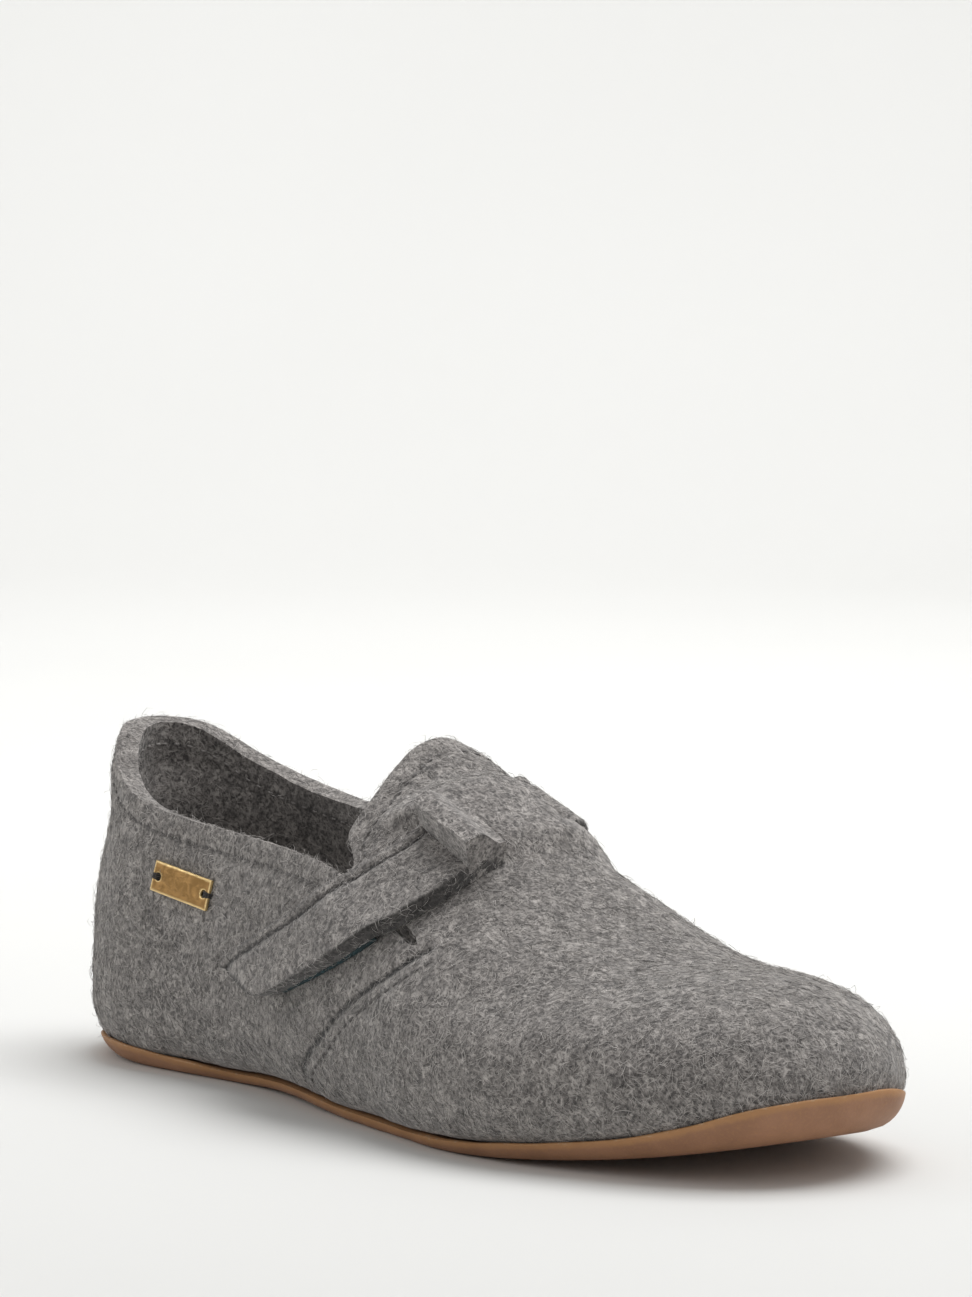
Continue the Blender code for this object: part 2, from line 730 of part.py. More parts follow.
def main():
    for old in list(bpy.data.objects):
        bpy.data.objects.remove(old)
    scene = bpy.context.scene
    parts = bpy.data.collections.new("felt slipper")
    cutters = bpy.data.collections.new("cutters")
    scene.collection.children.link(parts)
    scene.collection.children.link(cutters)
    grey_felt = material("grey felt", (0.115, 0.108, 0.105), 0.95)
    inner_felt = material("insole felt", (0.085, 0.080, 0.078), 0.95)
    rubber = material("tan sole rubber", (0.38, 0.19, 0.095), 0.62)
    tape = material("teal hook tape", (0.012, 0.030, 0.034), 0.8)
    brass = material("antique brass", (0.42, 0.26, 0.09), 0.42, 1.0)
    build_upper(parts, cutters, grey_felt)
    build_sole(parts, rubber)
    build_insole(parts, inner_felt)
    build_strap(parts, grey_felt)
    build_tape(parts, tape)
    build_plate(parts, cutters, brass)


main()
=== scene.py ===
"""Looks of the felt slipper: grey wool felt, tan sole, strap, brass plate, stitches and a plain studio stage.

Metres, +Z up. The toe points along -Y and the outer (lateral) side of the foot is -X. A station is a share
of the length, 0 at the heel and 1 at the toe.
"""
import math

import bmesh
import bpy
import numpy as np
from mathutils import Matrix, Vector
from mathutils.bvhtree import BVHTree


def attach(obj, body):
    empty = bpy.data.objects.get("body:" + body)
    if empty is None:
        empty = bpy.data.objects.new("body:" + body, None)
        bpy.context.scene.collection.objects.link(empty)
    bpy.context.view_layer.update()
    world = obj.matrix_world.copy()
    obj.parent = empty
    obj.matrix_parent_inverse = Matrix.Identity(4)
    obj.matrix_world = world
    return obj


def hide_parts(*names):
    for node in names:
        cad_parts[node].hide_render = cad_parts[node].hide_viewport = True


bl_info = {
    "name": "Felt slipper",
    "version": (1, 0, 0),
    "blender": (4, 5, 0),
    "location": "View3D > Sidebar > Slipper",
    "description": "Dresses the felt slipper: felt, sole, strap, plate, stitches and stage",
    "category": "Object",
}

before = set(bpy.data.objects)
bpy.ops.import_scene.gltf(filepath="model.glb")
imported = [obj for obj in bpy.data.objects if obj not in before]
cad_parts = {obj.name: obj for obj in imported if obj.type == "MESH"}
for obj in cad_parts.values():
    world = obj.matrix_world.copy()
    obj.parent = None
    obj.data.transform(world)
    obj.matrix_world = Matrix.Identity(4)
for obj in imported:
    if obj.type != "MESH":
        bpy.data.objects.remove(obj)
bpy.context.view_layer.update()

# Sizes of the last, in metres
LENGTH = 0.262
BALL_WIDTH = 0.090
INSTEP_HEIGHT = 0.084
TOE_HEIGHT = 0.041
HEEL_HEIGHT = 0.081
TOPLINE_HEIGHT = 0.058
BULGE_HEIGHT = 0.020
CORNER_RADIUS = 0.0095
SOLE_THICKNESS = 0.0032
TOE_WRAP_HEIGHT = 0.0088
SOLE_LIP = 0.0008
TOE_SPRING = 0.0107
ARCH_RISE = 0.0010
SPRING_START = 0.66
ARCH_START, ARCH_END = 0.26, 0.52
WALL = 0.0040
HEEL_WALL = 0.0055
TURNED_IN = 0.009
INSOLE_THICKNESS = 0.0032
GAP = 0.0003
SOFT_GAP = 0.0005
SLOT_WIDTH = 0.0032
SLOT_LENGTH = 0.037
SLOT_DROP = math.radians(18)
STRAP_THICKNESS = 0.0042
STRAP_FREE_LENGTH = 0.080
STRAP_SEWN_LENGTH = 0.050
STRAP_CORNER = 0.0045
STRAP_SWING = 0.075
SWING_REACH = (-0.08, 0.20)
MEDIAL_BACK, MEDIAL_RISE, MEDIAL_FADE = 0.016, 0.061, 0.25
STRAP_CLEARANCE = 0.03
BRIDGE_WIDTH = 0.023
BRIDGE_RISE = 0.0034
BRIDGE_FADE = 0.006
BRIDGE_ENDS_IN, BRIDGE_ENDS_OUT = 0.002, 0.008
SLIT_LEAD = 0.0008
SLIT_RAMP = 0.0062
STRAP_UNDER = -0.0034
SLIT_DEPTH = 0.0095
TAPE_LENGTH = 0.032
TAPE_SHARE = 0.85
TAPE_THICKNESS = 0.0014
TAPE_RAMP_START, TAPE_RAMP_END = 0.014, 0.002
PLATE_LENGTH = 0.0222
PLATE_HEIGHT = 0.0074
PLATE_THICKNESS = 0.0008
PLATE_HOLE_RADIUS = 0.0010
PLATE_HOLE_INSET = 0.0021
PLATE_HOLE_PLACE = PLATE_LENGTH / 2 - PLATE_HOLE_INSET
PLATE_STATION = 0.236
PLATE_CENTRE_HEIGHT = 0.0465
PLATE_TILT = math.radians(7)
SEAM_ROW_SHIFT = 0.0042
COLLAR_ROW_DOWN = 0.0055
TONGUE_ROW_IN = 0.006
STRAP_ROW_SHARE = 0.122
STRAP_ROW_ENDS = 0.004
PLATE_THREAD_RADIUS = 0.00017
PLATE_THREAD_COLOR = (0.045, 0.040, 0.040)
# thickness of a stitch from end to end, as shares of the thread's
STITCH_PROFILE = (0.35, 0.85, 1.0, 1.0, 1.0, 0.85, 0.35)

# station, lateral and medial half width as shares of the ball width
WIDTH_ROWS = (
    (0.00, 0.326, 0.317), (0.15, 0.363, 0.383), (0.30, 0.356, 0.392), (0.45, 0.428, 0.367),
    (0.58, 0.491, 0.422), (0.70, 0.533, 0.469), (0.84, 0.461, 0.537), (1.00, 0.444, 0.511),
)
# station, ridge height as shares of the instep height and of the toe height
RIDGE_ROWS = (
    (0.00, 1.500, 0.000), (0.25, 1.202, 0.000), (0.42, 1.048, 0.000), (0.54, 0.857, 0.000),
    (0.66, 0.652, 0.000), (0.78, 0.000, 1.035), (0.90, 0.000, 0.995), (1.00, 0.000, 0.870),
)
# station, height of the widest level, corner radius, squareness of the arch, place of the ridge
SIDE_ROWS = (
    (0.00, 0.68, 0.78, 1.85, -0.006), (0.28, 1.00, 1.00, 1.80, 0.022), (0.50, 0.95, 0.93, 1.87, 0.048),
    (0.75, 0.86, 0.98, 2.23, 0.053), (1.00, 0.43, 0.76, 2.65, 0.067),
)
HEEL_END = (0.155, 2.06)
TOE_END = (0.255, 2.20)
RIDGE_START, RIDGE_END = 0.11, 0.84
# station, share of the rise from the topline to the heel height
COLLAR_ROWS = (
    (-0.060, 1.03), (0.010, 1.01), (0.040, 0.93), (0.060, 0.79), (0.080, 0.62), (0.105, 0.47), (0.140, 0.34),
    (0.190, 0.22), (0.250, 0.14), (0.320, 0.085), (0.380, 0.045), (0.430, 0.00), (0.465, -0.06),
    (0.500, -0.13),
)
# station, height as a share of the instep height, along the rear edge of the tongue
TONGUE_ROWS = (
    (0.4850, 0.662), (0.4880, 0.690), (0.4790, 0.722), (0.4670, 0.750), (0.4620, 0.785), (0.4630, 0.850),
    (0.4590, 0.930), (0.4520, 0.990), (0.4430, 1.060),
)
# station, height as a share of the instep height, along the seam between vamp and quarter
SEAM_ROWS = (
    (0.637, 0.520), (0.597, 0.439), (0.542, 0.338), (0.496, 0.227), (0.464, 0.144), (0.446, 0.060),
)
# along, station and height of the strap's upper edge, station and height of its lower edge
STRAP_ROWS = (
    (0.00, 0.535, 0.835, 0.608, 0.722), (0.12, 0.543, 0.768, 0.613, 0.672),
    (0.33, 0.528, 0.692, 0.603, 0.599), (0.50, 0.499, 0.625, 0.578, 0.536),
    (0.67, 0.463, 0.544, 0.540, 0.463), (0.83, 0.406, 0.461, 0.487, 0.388),
    (1.00, 0.338, 0.370, 0.414, 0.304),
)
# station, height of the sole's edge as a share of its height at the toe
SOLE_EDGE_ROWS = (
    (0.00, 0.50), (0.12, 0.60), (0.20, 0.44), (0.30, 0.30), (0.45, 0.33), (0.65, 0.31), (0.76, 0.44),
    (0.86, 0.53), (0.93, 0.68), (0.97, 0.90), (1.00, 1.00),
)

# Fineness of the meshes
TABLE_ALONG, TABLE_UP = 420, 300
QUARTER_COLUMNS, VAMP_COLUMNS = 92, 104
LOWER_ROWS, UPPER_ROWS = 54, 46
SEED = 11


# Shape of the last

def natural_spline(xs, ys):
    """A smooth function through the points, straight at both ends."""
    xs = np.asarray(xs, float)
    ys = np.asarray(ys, float)
    gaps = np.diff(xs)
    count = len(xs)
    system = np.eye(count)
    right = np.zeros(count)
    for i in range(1, count - 1):
        system[i, i - 1:i + 2] = gaps[i - 1], 2 * (gaps[i - 1] + gaps[i]), gaps[i]
        right[i] = 6 * ((ys[i + 1] - ys[i]) / gaps[i] - (ys[i] - ys[i - 1]) / gaps[i - 1])
    bend = np.linalg.solve(system, right)

    def value(x):
        x = np.clip(x, xs[0], xs[-1])
        i = np.clip(np.searchsorted(xs, x, side="right") - 1, 0, count - 2)
        a = (xs[i + 1] - x) / gaps[i]
        b = (x - xs[i]) / gaps[i]
        curve = ((a ** 3 - a) * bend[i] + (b ** 3 - b) * bend[i + 1]) * gaps[i] ** 2 / 6
        return a * ys[i] + b * ys[i + 1] + curve

    return value


def column(rows, index, size):
    return natural_spline([row[0] for row in rows], [row[index] * size for row in rows])


lateral_width = column(WIDTH_ROWS, 1, BALL_WIDTH)
medial_width = column(WIDTH_ROWS, 2, BALL_WIDTH)
ridge_height = natural_spline(
    [row[0] for row in RIDGE_ROWS], [row[1] * INSTEP_HEIGHT + row[2] * TOE_HEIGHT for row in RIDGE_ROWS])
bulge_height = column(SIDE_ROWS, 1, BULGE_HEIGHT)
corner_radius = column(SIDE_ROWS, 2, CORNER_RADIUS)
squareness = column(SIDE_ROWS, 3, 1.0)
ridge_place = column(SIDE_ROWS, 4, BALL_WIDTH)
collar_rise = column(COLLAR_ROWS, 1, HEEL_HEIGHT - TOPLINE_HEIGHT)
sole_edge_height = column(SOLE_EDGE_ROWS, 1, TOE_WRAP_HEIGHT)
STRAP_ROUTE = [column(STRAP_ROWS, k, 1.0) for k in (1, 2, 3, 4)]


def smooth_step(value, start, end):
    t = np.clip((value - start) / (end - start), 0.0, 1.0)
    return t * t * (3 - 2 * t)


def station_of(y):
    return 0.5 - (y - SOLE_THICKNESS / 2) / LENGTH


def place_of(station):
    return LENGTH * (0.5 - station) + SOLE_THICKNESS / 2


def ground(station):
    """Height of the sole's underside: toe spring in front, a slight arch at the waist, 0 elsewhere."""
    toe = np.clip((station - SPRING_START) / (1 - SPRING_START), 0.0, None)
    waist = np.clip((station - ARCH_START) / (ARCH_END - ARCH_START), 0.0, 1.0)
    return TOE_SPRING * toe ** 2 + ARCH_RISE * np.sin(math.pi * waist) ** 2


def round_ends(station):
    """Share of the full half width that is left near the heel and the toe."""
    reach, power = HEEL_END
    heel = 1 - np.clip(1 - station / reach, 0.0, 1.0) ** power
    toe_reach, toe_power = TOE_END
    toe = 1 - np.clip((station - 1 + toe_reach) / toe_reach, 0.0, 1.0) ** toe_power
    return np.clip(heel, 0, 1) ** (1 / power) * np.clip(toe, 0, 1) ** (1 / toe_power)


def side_lines(side, turn):
    """Stations of lines that run up one side, their outer ends and their ends on the ridge."""
    station = (1 - np.cos(math.pi * turn)) / 2
    middle = (medial_width(station) - lateral_width(station)) / 2
    half = (medial_width(station) + lateral_width(station)) / 2
    outer = np.stack([middle + side * half * round_ends(station), place_of(station)], -1)
    top_station = RIDGE_START + (RIDGE_END - RIDGE_START) * station
    inner = np.stack([ridge_place(top_station), place_of(top_station)], -1)
    return station, outer, inner


def arch_points(side, turn, angle):
    """Points above the widest level; the angle runs from 0 at the side to 90 degrees at the ridge."""
    station, outer, inner = side_lines(side, turn)
    power = squareness(station)
    across = 1 - max(math.cos(angle), 0.0) ** (2 / power)
    up = math.sin(angle) ** (2 / power)
    plan = outer + (inner - outer) * across[:, None]
    base = bulge_height(station) + ground(station)
    return np.column_stack([plan, base + (ridge_height(station_of(plan[:, 1])) - base) * up])


def corner_points(side, turn, angle, offset=0.0, height=None):
    """Points below the widest level, from -90 degrees (underneath) to 0, offset outwards."""
    station, outer, inner = side_lines(side, turn)
    away = outer - inner
    away /= np.linalg.norm(away, axis=1)[:, None]
    level = bulge_height(station)
    depth = level - SOLE_THICKNESS + offset
    if height is not None:
        angle = np.arcsin(np.clip((height - level) / depth, -1.0, 0.0))
    radius = corner_radius(station)
    plan = outer + away * (-radius + (radius + offset) * np.cos(angle))[:, None]
    return np.column_stack([plan, level + ground(station_of(plan[:, 1])) + depth * np.sin(angle)])


def under_points(side, turn, share, inset, height):
    """Points of a level face: in from the corner's inner edge, then a share of the way to the middle."""
    station, outer, inner = side_lines(side, turn)
    away = outer - inner
    length = np.linalg.norm(away, axis=1)
    away /= length[:, None]
    start = corner_radius(station) + inset
    plan = outer - away * (start + (length - start) * share)[:, None]
    return np.column_stack([plan, height + ground(station_of(plan[:, 1]))])


class Side:
    """One side of the last as a dense table: t runs from heel to toe, q from the turned-in edge up."""

    def __init__(self, side):
        self.side = side
        turn = np.linspace(0.0, 1.0, TABLE_ALONG + 1)
        rows = [under_points(side, turn, 0.0, TURNED_IN, SOLE_THICKNESS)]
        rows += [corner_points(side, turn, -math.pi / 2 * (1 - k / 40)) for k in range(40)]
        rows += [arch_points(side, turn, math.pi / 2 * (k / 240) ** 1.3) for k in range(241)]
        rows = np.stack(rows, 1)
        step = np.linalg.norm(np.diff(rows, axis=1), axis=2)
        arc = np.concatenate([np.zeros((len(turn), 1)), np.cumsum(step, 1)], 1)
        self.length = arc[:, -1]
        share = np.linspace(0.0, 1.0, TABLE_UP + 1)
        table = np.empty((len(turn), TABLE_UP + 1, 3))
        for i in range(len(turn)):
            for axis in range(3):
                table[i, :, axis] = np.interp(share * arc[i, -1], arc[i], rows[i, :, axis])
        self.table = table
        along = np.gradient(table, axis=0)
        up = np.gradient(table, axis=1)
        normal = np.cross(along, up) * side
        normal /= np.linalg.norm(normal, axis=2)[..., None] + 1e-12
        outward = table - np.array([0.0, 0.0, BULGE_HEIGHT])
        outward[..., 1] = 0.0
        if (normal[:, TABLE_UP // 2] * outward[:, TABLE_UP // 2]).sum() < 0:
            normal = -normal
        self.normals = normal

    def at(self, t, q, normals=False):
        """Points, or outward directions, at places t, q."""
        grid = self.normals if normals else self.table
        a = np.clip(np.asarray(t, float), 0, 1) * TABLE_ALONG
        b = np.clip(np.asarray(q, float), 0, 1) * TABLE_UP
        i = np.minimum(a.astype(int), TABLE_ALONG - 1)
        j = np.minimum(b.astype(int), TABLE_UP - 1)
        u = (a - i)[..., None]
        v = (b - j)[..., None]
        value = (grid[i, j] * (1 - u) * (1 - v) + grid[i + 1, j] * u * (1 - v)
                 + grid[i, j + 1] * (1 - u) * v + grid[i + 1, j + 1] * u * v)
        if normals:
            value = value / (np.linalg.norm(value, axis=-1)[..., None] + 1e-12)
        return value

    def length_at(self, t):
        return np.interp(t, np.linspace(0.0, 1.0, TABLE_ALONG + 1), self.length)

    def first_above(self, t, edge):
        """For each t, the q where the side first rises over a line given as height by place along Y."""
        q = np.linspace(0.2, 1.0, 1600)
        found = []
        for value in np.atleast_1d(t):
            points = self.at(np.full(q.shape, value), q)
            over = points[:, 2] - edge(points[:, 1])
            hit = np.argmax(over > 0)
            found.append(q[hit] if over[hit] > 0 else 1.0)
        return np.array(found)

    def nearest(self, station, height):
        """The place t, q of a point given by its station and height in the side view."""
        y = place_of(station)
        skip = TABLE_UP // 8
        target = self.table[:, skip:]
        away = (target[..., 1] - y) ** 2 + (target[..., 2] - height) ** 2
        i, j = np.unravel_index(np.argmin(away), away.shape)
        return i / TABLE_ALONG, (j + skip) / TABLE_UP


SIDES = {side: Side(side) for side in (-1, 1)}


def last_tree():
    """The last as a tree to look places up on."""
    points = []
    faces = []
    for side in (-1, 1):
        table = SIDES[side].table[::3, ::3]
        first = len(points)
        rows, columns = table.shape[:2]
        points.extend(map(Vector, table.reshape(-1, 3)))
        for i in range(rows - 1):
            for j in range(columns - 1):
                a = first + i * columns + j
                faces.append((a, a + columns, a + columns + 1, a + 1))
    return BVHTree.FromPolygons(points, faces)


LAST = last_tree()


def on_last(point):
    """Nearest point of the last, and the outward direction there."""
    place, normal, _, _ = LAST.find_nearest(point)
    if normal.dot(place - Vector((0.0, place.y, BULGE_HEIGHT))) < 0:
        normal = -normal
    return place, normal


def seen_from_side(side, station, height):
    """The point of the last at a station and height, as seen from one side."""
    y = place_of(station)
    place, _, _, _ = LAST.ray_cast(Vector((side * BALL_WIDTH, y, height)), Vector((-side, 0.0, 0.0)))
    if place is None:
        place = Vector((float(ridge_place(station)), y, height))
    return place


# Strap route

def side_edges(side, down):
    """Upper and lower edge of the strap on one side; down runs from the slit (0) to the free end (1)."""
    upper, high, lower, low = (float(route(down)) for route in STRAP_ROUTE)
    back = rise = 0.0
    if side > 0:
        near = 1 - float(smooth_step(down, 0.0, MEDIAL_FADE))
        back = STRAP_SWING * float(smooth_step(down, *SWING_REACH)) + MEDIAL_BACK * near
        rise = MEDIAL_RISE * near
    return [seen_from_side(side, upper - back, (high + rise) * INSTEP_HEIGHT),
            seen_from_side(side, lower - back, (low + rise) * INSTEP_HEIGHT)]


def strap_edges(along):
    """Upper and lower edge of the strap on the last; along is measured from its middle, > 0 laterally."""
    half = BRIDGE_WIDTH / 2
    if abs(along) < half:
        share = (along + half) / BRIDGE_WIDTH
        return [far.lerp(near, share) for far, near in zip(side_edges(1, 0.0), side_edges(-1, 0.0))]
    return side_edges(-1 if along > 0 else 1, (abs(along) - half) / STRAP_FREE_LENGTH)


def strap_height(along):
    """Height of the strap's middle layer above the last: down under the bridge, up over its tape."""
    rest = SOFT_GAP + STRAP_THICKNESS / 2
    ramp = SLIT_RAMP if along > 0 else SLIT_RAMP * 0.75
    outside = smooth_step(abs(along), BRIDGE_WIDTH / 2 + SLIT_LEAD, BRIDGE_WIDTH / 2 + ramp)
    tape_start = BRIDGE_WIDTH / 2 + STRAP_FREE_LENGTH - TAPE_LENGTH
    over_tape = smooth_step(along, tape_start - TAPE_RAMP_START, tape_start - TAPE_RAMP_END)
    return STRAP_UNDER + (rest - STRAP_UNDER) * float(outside) + (TAPE_THICKNESS + GAP) * float(over_tape)


def strap_layer(along, share, height):
    upper, lower = strap_edges(along)
    place, normal = on_last(upper.lerp(lower, share))
    return place + normal * height


def band_grid(alongs, shares_at, height_at, lanes):
    """Middle points and outward directions of a band that follows the strap's route."""
    middles = []
    ups = []
    step = 0.0009
    for along in alongs:
        first, last = shares_at(along)
        row = []
        row_ups = []
        for lane in range(lanes + 1):
            share = first + (last - first) * lane / lanes
            middle = strap_layer(along, share, height_at(along))
            forward = (strap_layer(along + step, share, height_at(along + step))
                       - strap_layer(along - step, share, height_at(along - step)))
            sideways = strap_layer(along, share + 0.05, height_at(along)) - middle
            up = sideways.cross(forward).normalized()
            if up.dot(on_last(middle)[1]) < 0:
                up = -up
            row.append(middle)
            row_ups.append(up)
        middles.append(row)
        ups.append(row_ups)
    return np.array(middles), np.array(ups)


# Meshes

def object_from(name, points, faces, material, sharp=50):
    mesh = bpy.data.meshes.new(name)
    mesh.from_pydata(np.asarray(points, float).tolist(), [], faces)
    form = bmesh.new()
    form.from_mesh(mesh)
    bmesh.ops.remove_doubles(form, verts=form.verts, dist=0.00002)
    bmesh.ops.recalc_face_normals(form, faces=form.faces)
    form.to_mesh(mesh)
    form.free()
    mesh.shade_smooth()
    mesh.set_sharp_from_angle(angle=math.radians(sharp))
    made = bpy.data.objects.new(name, mesh)
    bpy.context.scene.collection.objects.link(made)
    if material:
        mesh.materials.append(material)
    return made


def grid_faces(rows, columns, first=0, closed=False):
    """Quads of a grid whose points are listed row by row."""
    faces = []
    for i in range(rows - 1):
        for j in range(columns - (0 if closed else 1)):
            after = (j + 1) % columns
            a = first + i * columns
            faces.append((a + j, a + after, a + columns + after, a + columns + j))
    return faces


def finish_piece(piece, slot, *nodes):
    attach(piece, "root")
    if nodes:
        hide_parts(*nodes)
    return piece


def apply_modifiers(piece):
    """Keeps the shape that the modifiers give, without the modifiers."""
    graph = bpy.context.evaluated_depsgraph_get()
    mesh = bpy.data.meshes.new_from_object(piece.evaluated_get(graph))
    piece.modifiers.clear()
    piece.data = mesh
    return piece


def wobble(points, scale, depth, seed):
    """Smooth random heights, from a few sine waves in fixed directions."""
    rng = np.random.default_rng(seed)
    total = np.zeros(len(points))
    for _ in range(9):
        direction = rng.normal(size=3)
        direction *= rng.uniform(0.5, 1.3) / scale / np.linalg.norm(direction)
        total += np.sin(points @ direction * 2 * math.pi + rng.uniform(0, 2 * math.pi))
    return total * depth / 3


def distance_to(points, path):
    """Distance of each point to a path of many points."""
    path = np.asarray(path, float)
    nearest = np.full(len(points), 1.0)
    for start in range(0, len(points), 4000):
        block = points[start:start + 4000]
        away = np.linalg.norm(block[:, None, :] - path[None, :, :], axis=2)
        nearest[start:start + 4000] = away.min(1)
    return nearest


def even_path(points, spacing):
    """Points at even spacing along a path, and their number is fixed by its length."""
    points = np.asarray(points, float)
    arc = np.concatenate([[0], np.cumsum(np.linalg.norm(np.diff(points, axis=0), axis=1))])
    count = max(2, int(round(arc[-1] / spacing)) + 1)
    where = np.linspace(0, arc[-1], count)
    return np.column_stack([np.interp(where, arc, points[:, axis]) for axis in range(3)])


class Upper:
    """Places of the upper's edges and rows of stitches in the t, q tables of both sides."""

    def __init__(self):
        self.rows = {}
        tongue = np.array([(place_of(s), h * INSTEP_HEIGHT) for s, h in TONGUE_ROWS])
        steps = np.linspace(0, len(tongue) - 1, 120)
        index = np.arange(len(tongue))
        self.tongue = np.column_stack([natural_spline(index, tongue[:, k])(steps) for k in (0, 1)])
        order = np.argsort(self.tongue[:, 1])
        self.tongue_place = lambda z: np.interp(z, self.tongue[order, 1], self.tongue[order, 0])
        self.foot = tongue[0]
        for side in (-1, 1):
            self.rows[side] = self.plan(side)

    def collar_edge(self, y):
        return TOPLINE_HEIGHT + collar_rise(station_of(y))

    def slot_line(self, y):
        return self.foot[1] - (self.foot[0] - y) * math.tan(SLOT_DROP)

    def plan(self, side):
        shape = SIDES[side]
        foot_t, foot_q = shape.nearest(station_of(self.foot[0]), self.foot[1])
        end_y = self.foot[0] - SLOT_LENGTH * math.cos(SLOT_DROP)
        end_z = self.foot[1] - SLOT_LENGTH * math.sin(SLOT_DROP)
        end_t, _ = shape.nearest(station_of(end_y), end_z)
        # Columns of the quarter, then of the vamp
        share = np.linspace(0, 1, QUARTER_COLUMNS + 1)
        quarter_t = foot_t * share
        edge_q = shape.first_above(quarter_t, self.collar_edge)
        blend = smooth_step(share, 0.93, 1.0)
        edge_q = edge_q * (1 - blend) + foot_q * blend
        vamp_share = np.linspace(0, 1, VAMP_COLUMNS + 1)
        vamp_t = foot_t + (1 - foot_t) * vamp_share
        slot_q = shape.first_above(vamp_t, self.slot_line)
        slot_q[0] = foot_q
        last = int(np.argmin(abs(vamp_t - end_t)))
        toe_q = 0.52
        slope = (slot_q[last] - slot_q[last - 6]) / (vamp_t[last] - vamp_t[last - 6])
        ahead = np.clip((vamp_t - vamp_t[last]) / (1 - vamp_t[last]), 0, 1)
        follow = slot_q[last] + slope * (vamp_t - vamp_t[last]) * (1 - ahead) ** 2
        follow = follow + (toe_q - slot_q[last]) * smooth_step(ahead, 0.0, 1.0)
        split_q = np.where(np.arange(VAMP_COLUMNS + 1) <= last, slot_q, follow)
        half = np.zeros(VAMP_COLUMNS + 1)
        half[:last] = SLOT_WIDTH / 2
        half[last - 1] *= 0.8
        half[last] = 0.0
        return {
            "foot": (foot_t, foot_q), "last": last, "quarter_t": quarter_t, "edge_q": edge_q,
            "vamp_t": vamp_t, "split_q": split_q, "half": half,
        }

    def tongue_t(self, side, q):
        """For each q above the foot of the slot, the t of the tongue's rear edge."""
        shape = SIDES[side]
        t = np.linspace(0.30, 0.56, 700)
        found = []
        for value in q:
            points = shape.at(t, np.full(t.shape, value))
            ahead = self.tongue_place(points[:, 2]) - points[:, 1]
            found.append(t[np.argmax(ahead > 0)])
        return np.array(found)


UPPER = Upper()


def upper_sheet():
    """Outer face of the upper; the collar, the tongue's edge and the slots are its borders."""
    points = []
    faces = []
    for side in (-1, 1):
        shape = SIDES[side]
        plan = UPPER.rows[side]
        foot_t, foot_q = plan["foot"]
        low_share = np.linspace(0, 1, LOWER_ROWS + 1)
        # Lower sheet: quarter and lower vamp
        t_all = np.concatenate([plan["quarter_t"], plan["vamp_t"][1:]])
        lip = plan["half"] / shape.length_at(plan["vamp_t"])
        top = np.concatenate([plan["edge_q"], (plan["split_q"] - lip)[1:]])
        top[QUARTER_COLUMNS] = foot_q - lip[0]
        t_grid = np.repeat(t_all[:, None], LOWER_ROWS + 1, 1)
        q_grid = top[:, None] * low_share[None, :]
        first = len(points)
        points.extend(shape.at(t_grid, q_grid).reshape(-1, 3))
        faces += grid_faces(len(t_all), LOWER_ROWS + 1, first)
        # Upper sheet: upper vamp with the tongue
        high_share = np.linspace(0, 1, UPPER_ROWS + 1)
        start_q = plan["split_q"] + lip
        q_grid = start_q[:, None] + (1 - start_q[:, None]) * high_share[None, :]
        edge_t = UPPER.tongue_t(side, q_grid[0])
        edge_t[0] = foot_t
        edge_t = np.minimum(edge_t, foot_t + 0.004)
        shift = edge_t - foot_t
        fade = (1 - np.linspace(0, 1, VAMP_COLUMNS + 1)) ** 3
        t_grid = plan["vamp_t"][:, None] + shift[None, :] * fade[:, None]
        first = len(points)
        points.extend(shape.at(t_grid, q_grid).reshape(-1, 3))
        faces += grid_faces(VAMP_COLUMNS + 1, UPPER_ROWS + 1, first)
    return np.array(points), faces


def seam_path(side, shift=0.0, reach=1.0):
    """The seam between vamp and quarter, from the slot's end down to the sole; shift moves it forward."""
    places = np.array([SIDES[side].nearest(s, h * INSTEP_HEIGHT) for s, h in SEAM_ROWS])
    index = np.arange(len(places))
    where = np.linspace(0, (len(places) - 1) * reach, 160)
    t = natural_spline(index, places[:, 0])(where)
    q = natural_spline(index, places[:, 1])(where)
    points = SIDES[side].at(t, q)
    if shift:
        normals = SIDES[side].at(t, q, True)
        ahead = np.cross(np.gradient(points, axis=0), normals)
        ahead /= np.linalg.norm(ahead, axis=1)[:, None]
        if ahead[:, 1].mean() > 0:
            ahead = -ahead
        points = points + ahead * shift
    return points


def collar_path(side, down, inside=False):
    """A line below the collar, from the heel to the slot."""
    shape = SIDES[side]
    plan = UPPER.rows[side]
    t = plan["quarter_t"][:-3]
    q = plan["edge_q"][:-3] - down / shape.length_at(t)
    points = shape.at(t, q)
    if inside:
        points = points - shape.at(t, q, True) * (wall_at(points)[:, None] + 0.0001)
    return points


def tongue_path(side, inwards):
    """A line on the tongue, a distance in from its rear edge."""
    shape = SIDES[side]
    plan = UPPER.rows[side]
    q = np.linspace(plan["foot"][1] + 0.04, 1.0, 60)
    t = UPPER.tongue_t(side, q)
    length = np.linalg.norm(shape.at(t + 0.01, q) - shape.at(t, q), axis=1) / 0.01
    return shape.at(t + inwards / length, q)


def wall_at(points):
    """Thickness of the felt: more around the collar at the heel, where a second layer is sewn in."""
    high = smooth_step(points[:, 2], BULGE_HEIGHT * 1.5, TOPLINE_HEIGHT)
    rear = 1 - smooth_step(station_of(points[:, 1]), 0.06, 0.26)
    return WALL + (HEEL_WALL - WALL) * high * rear


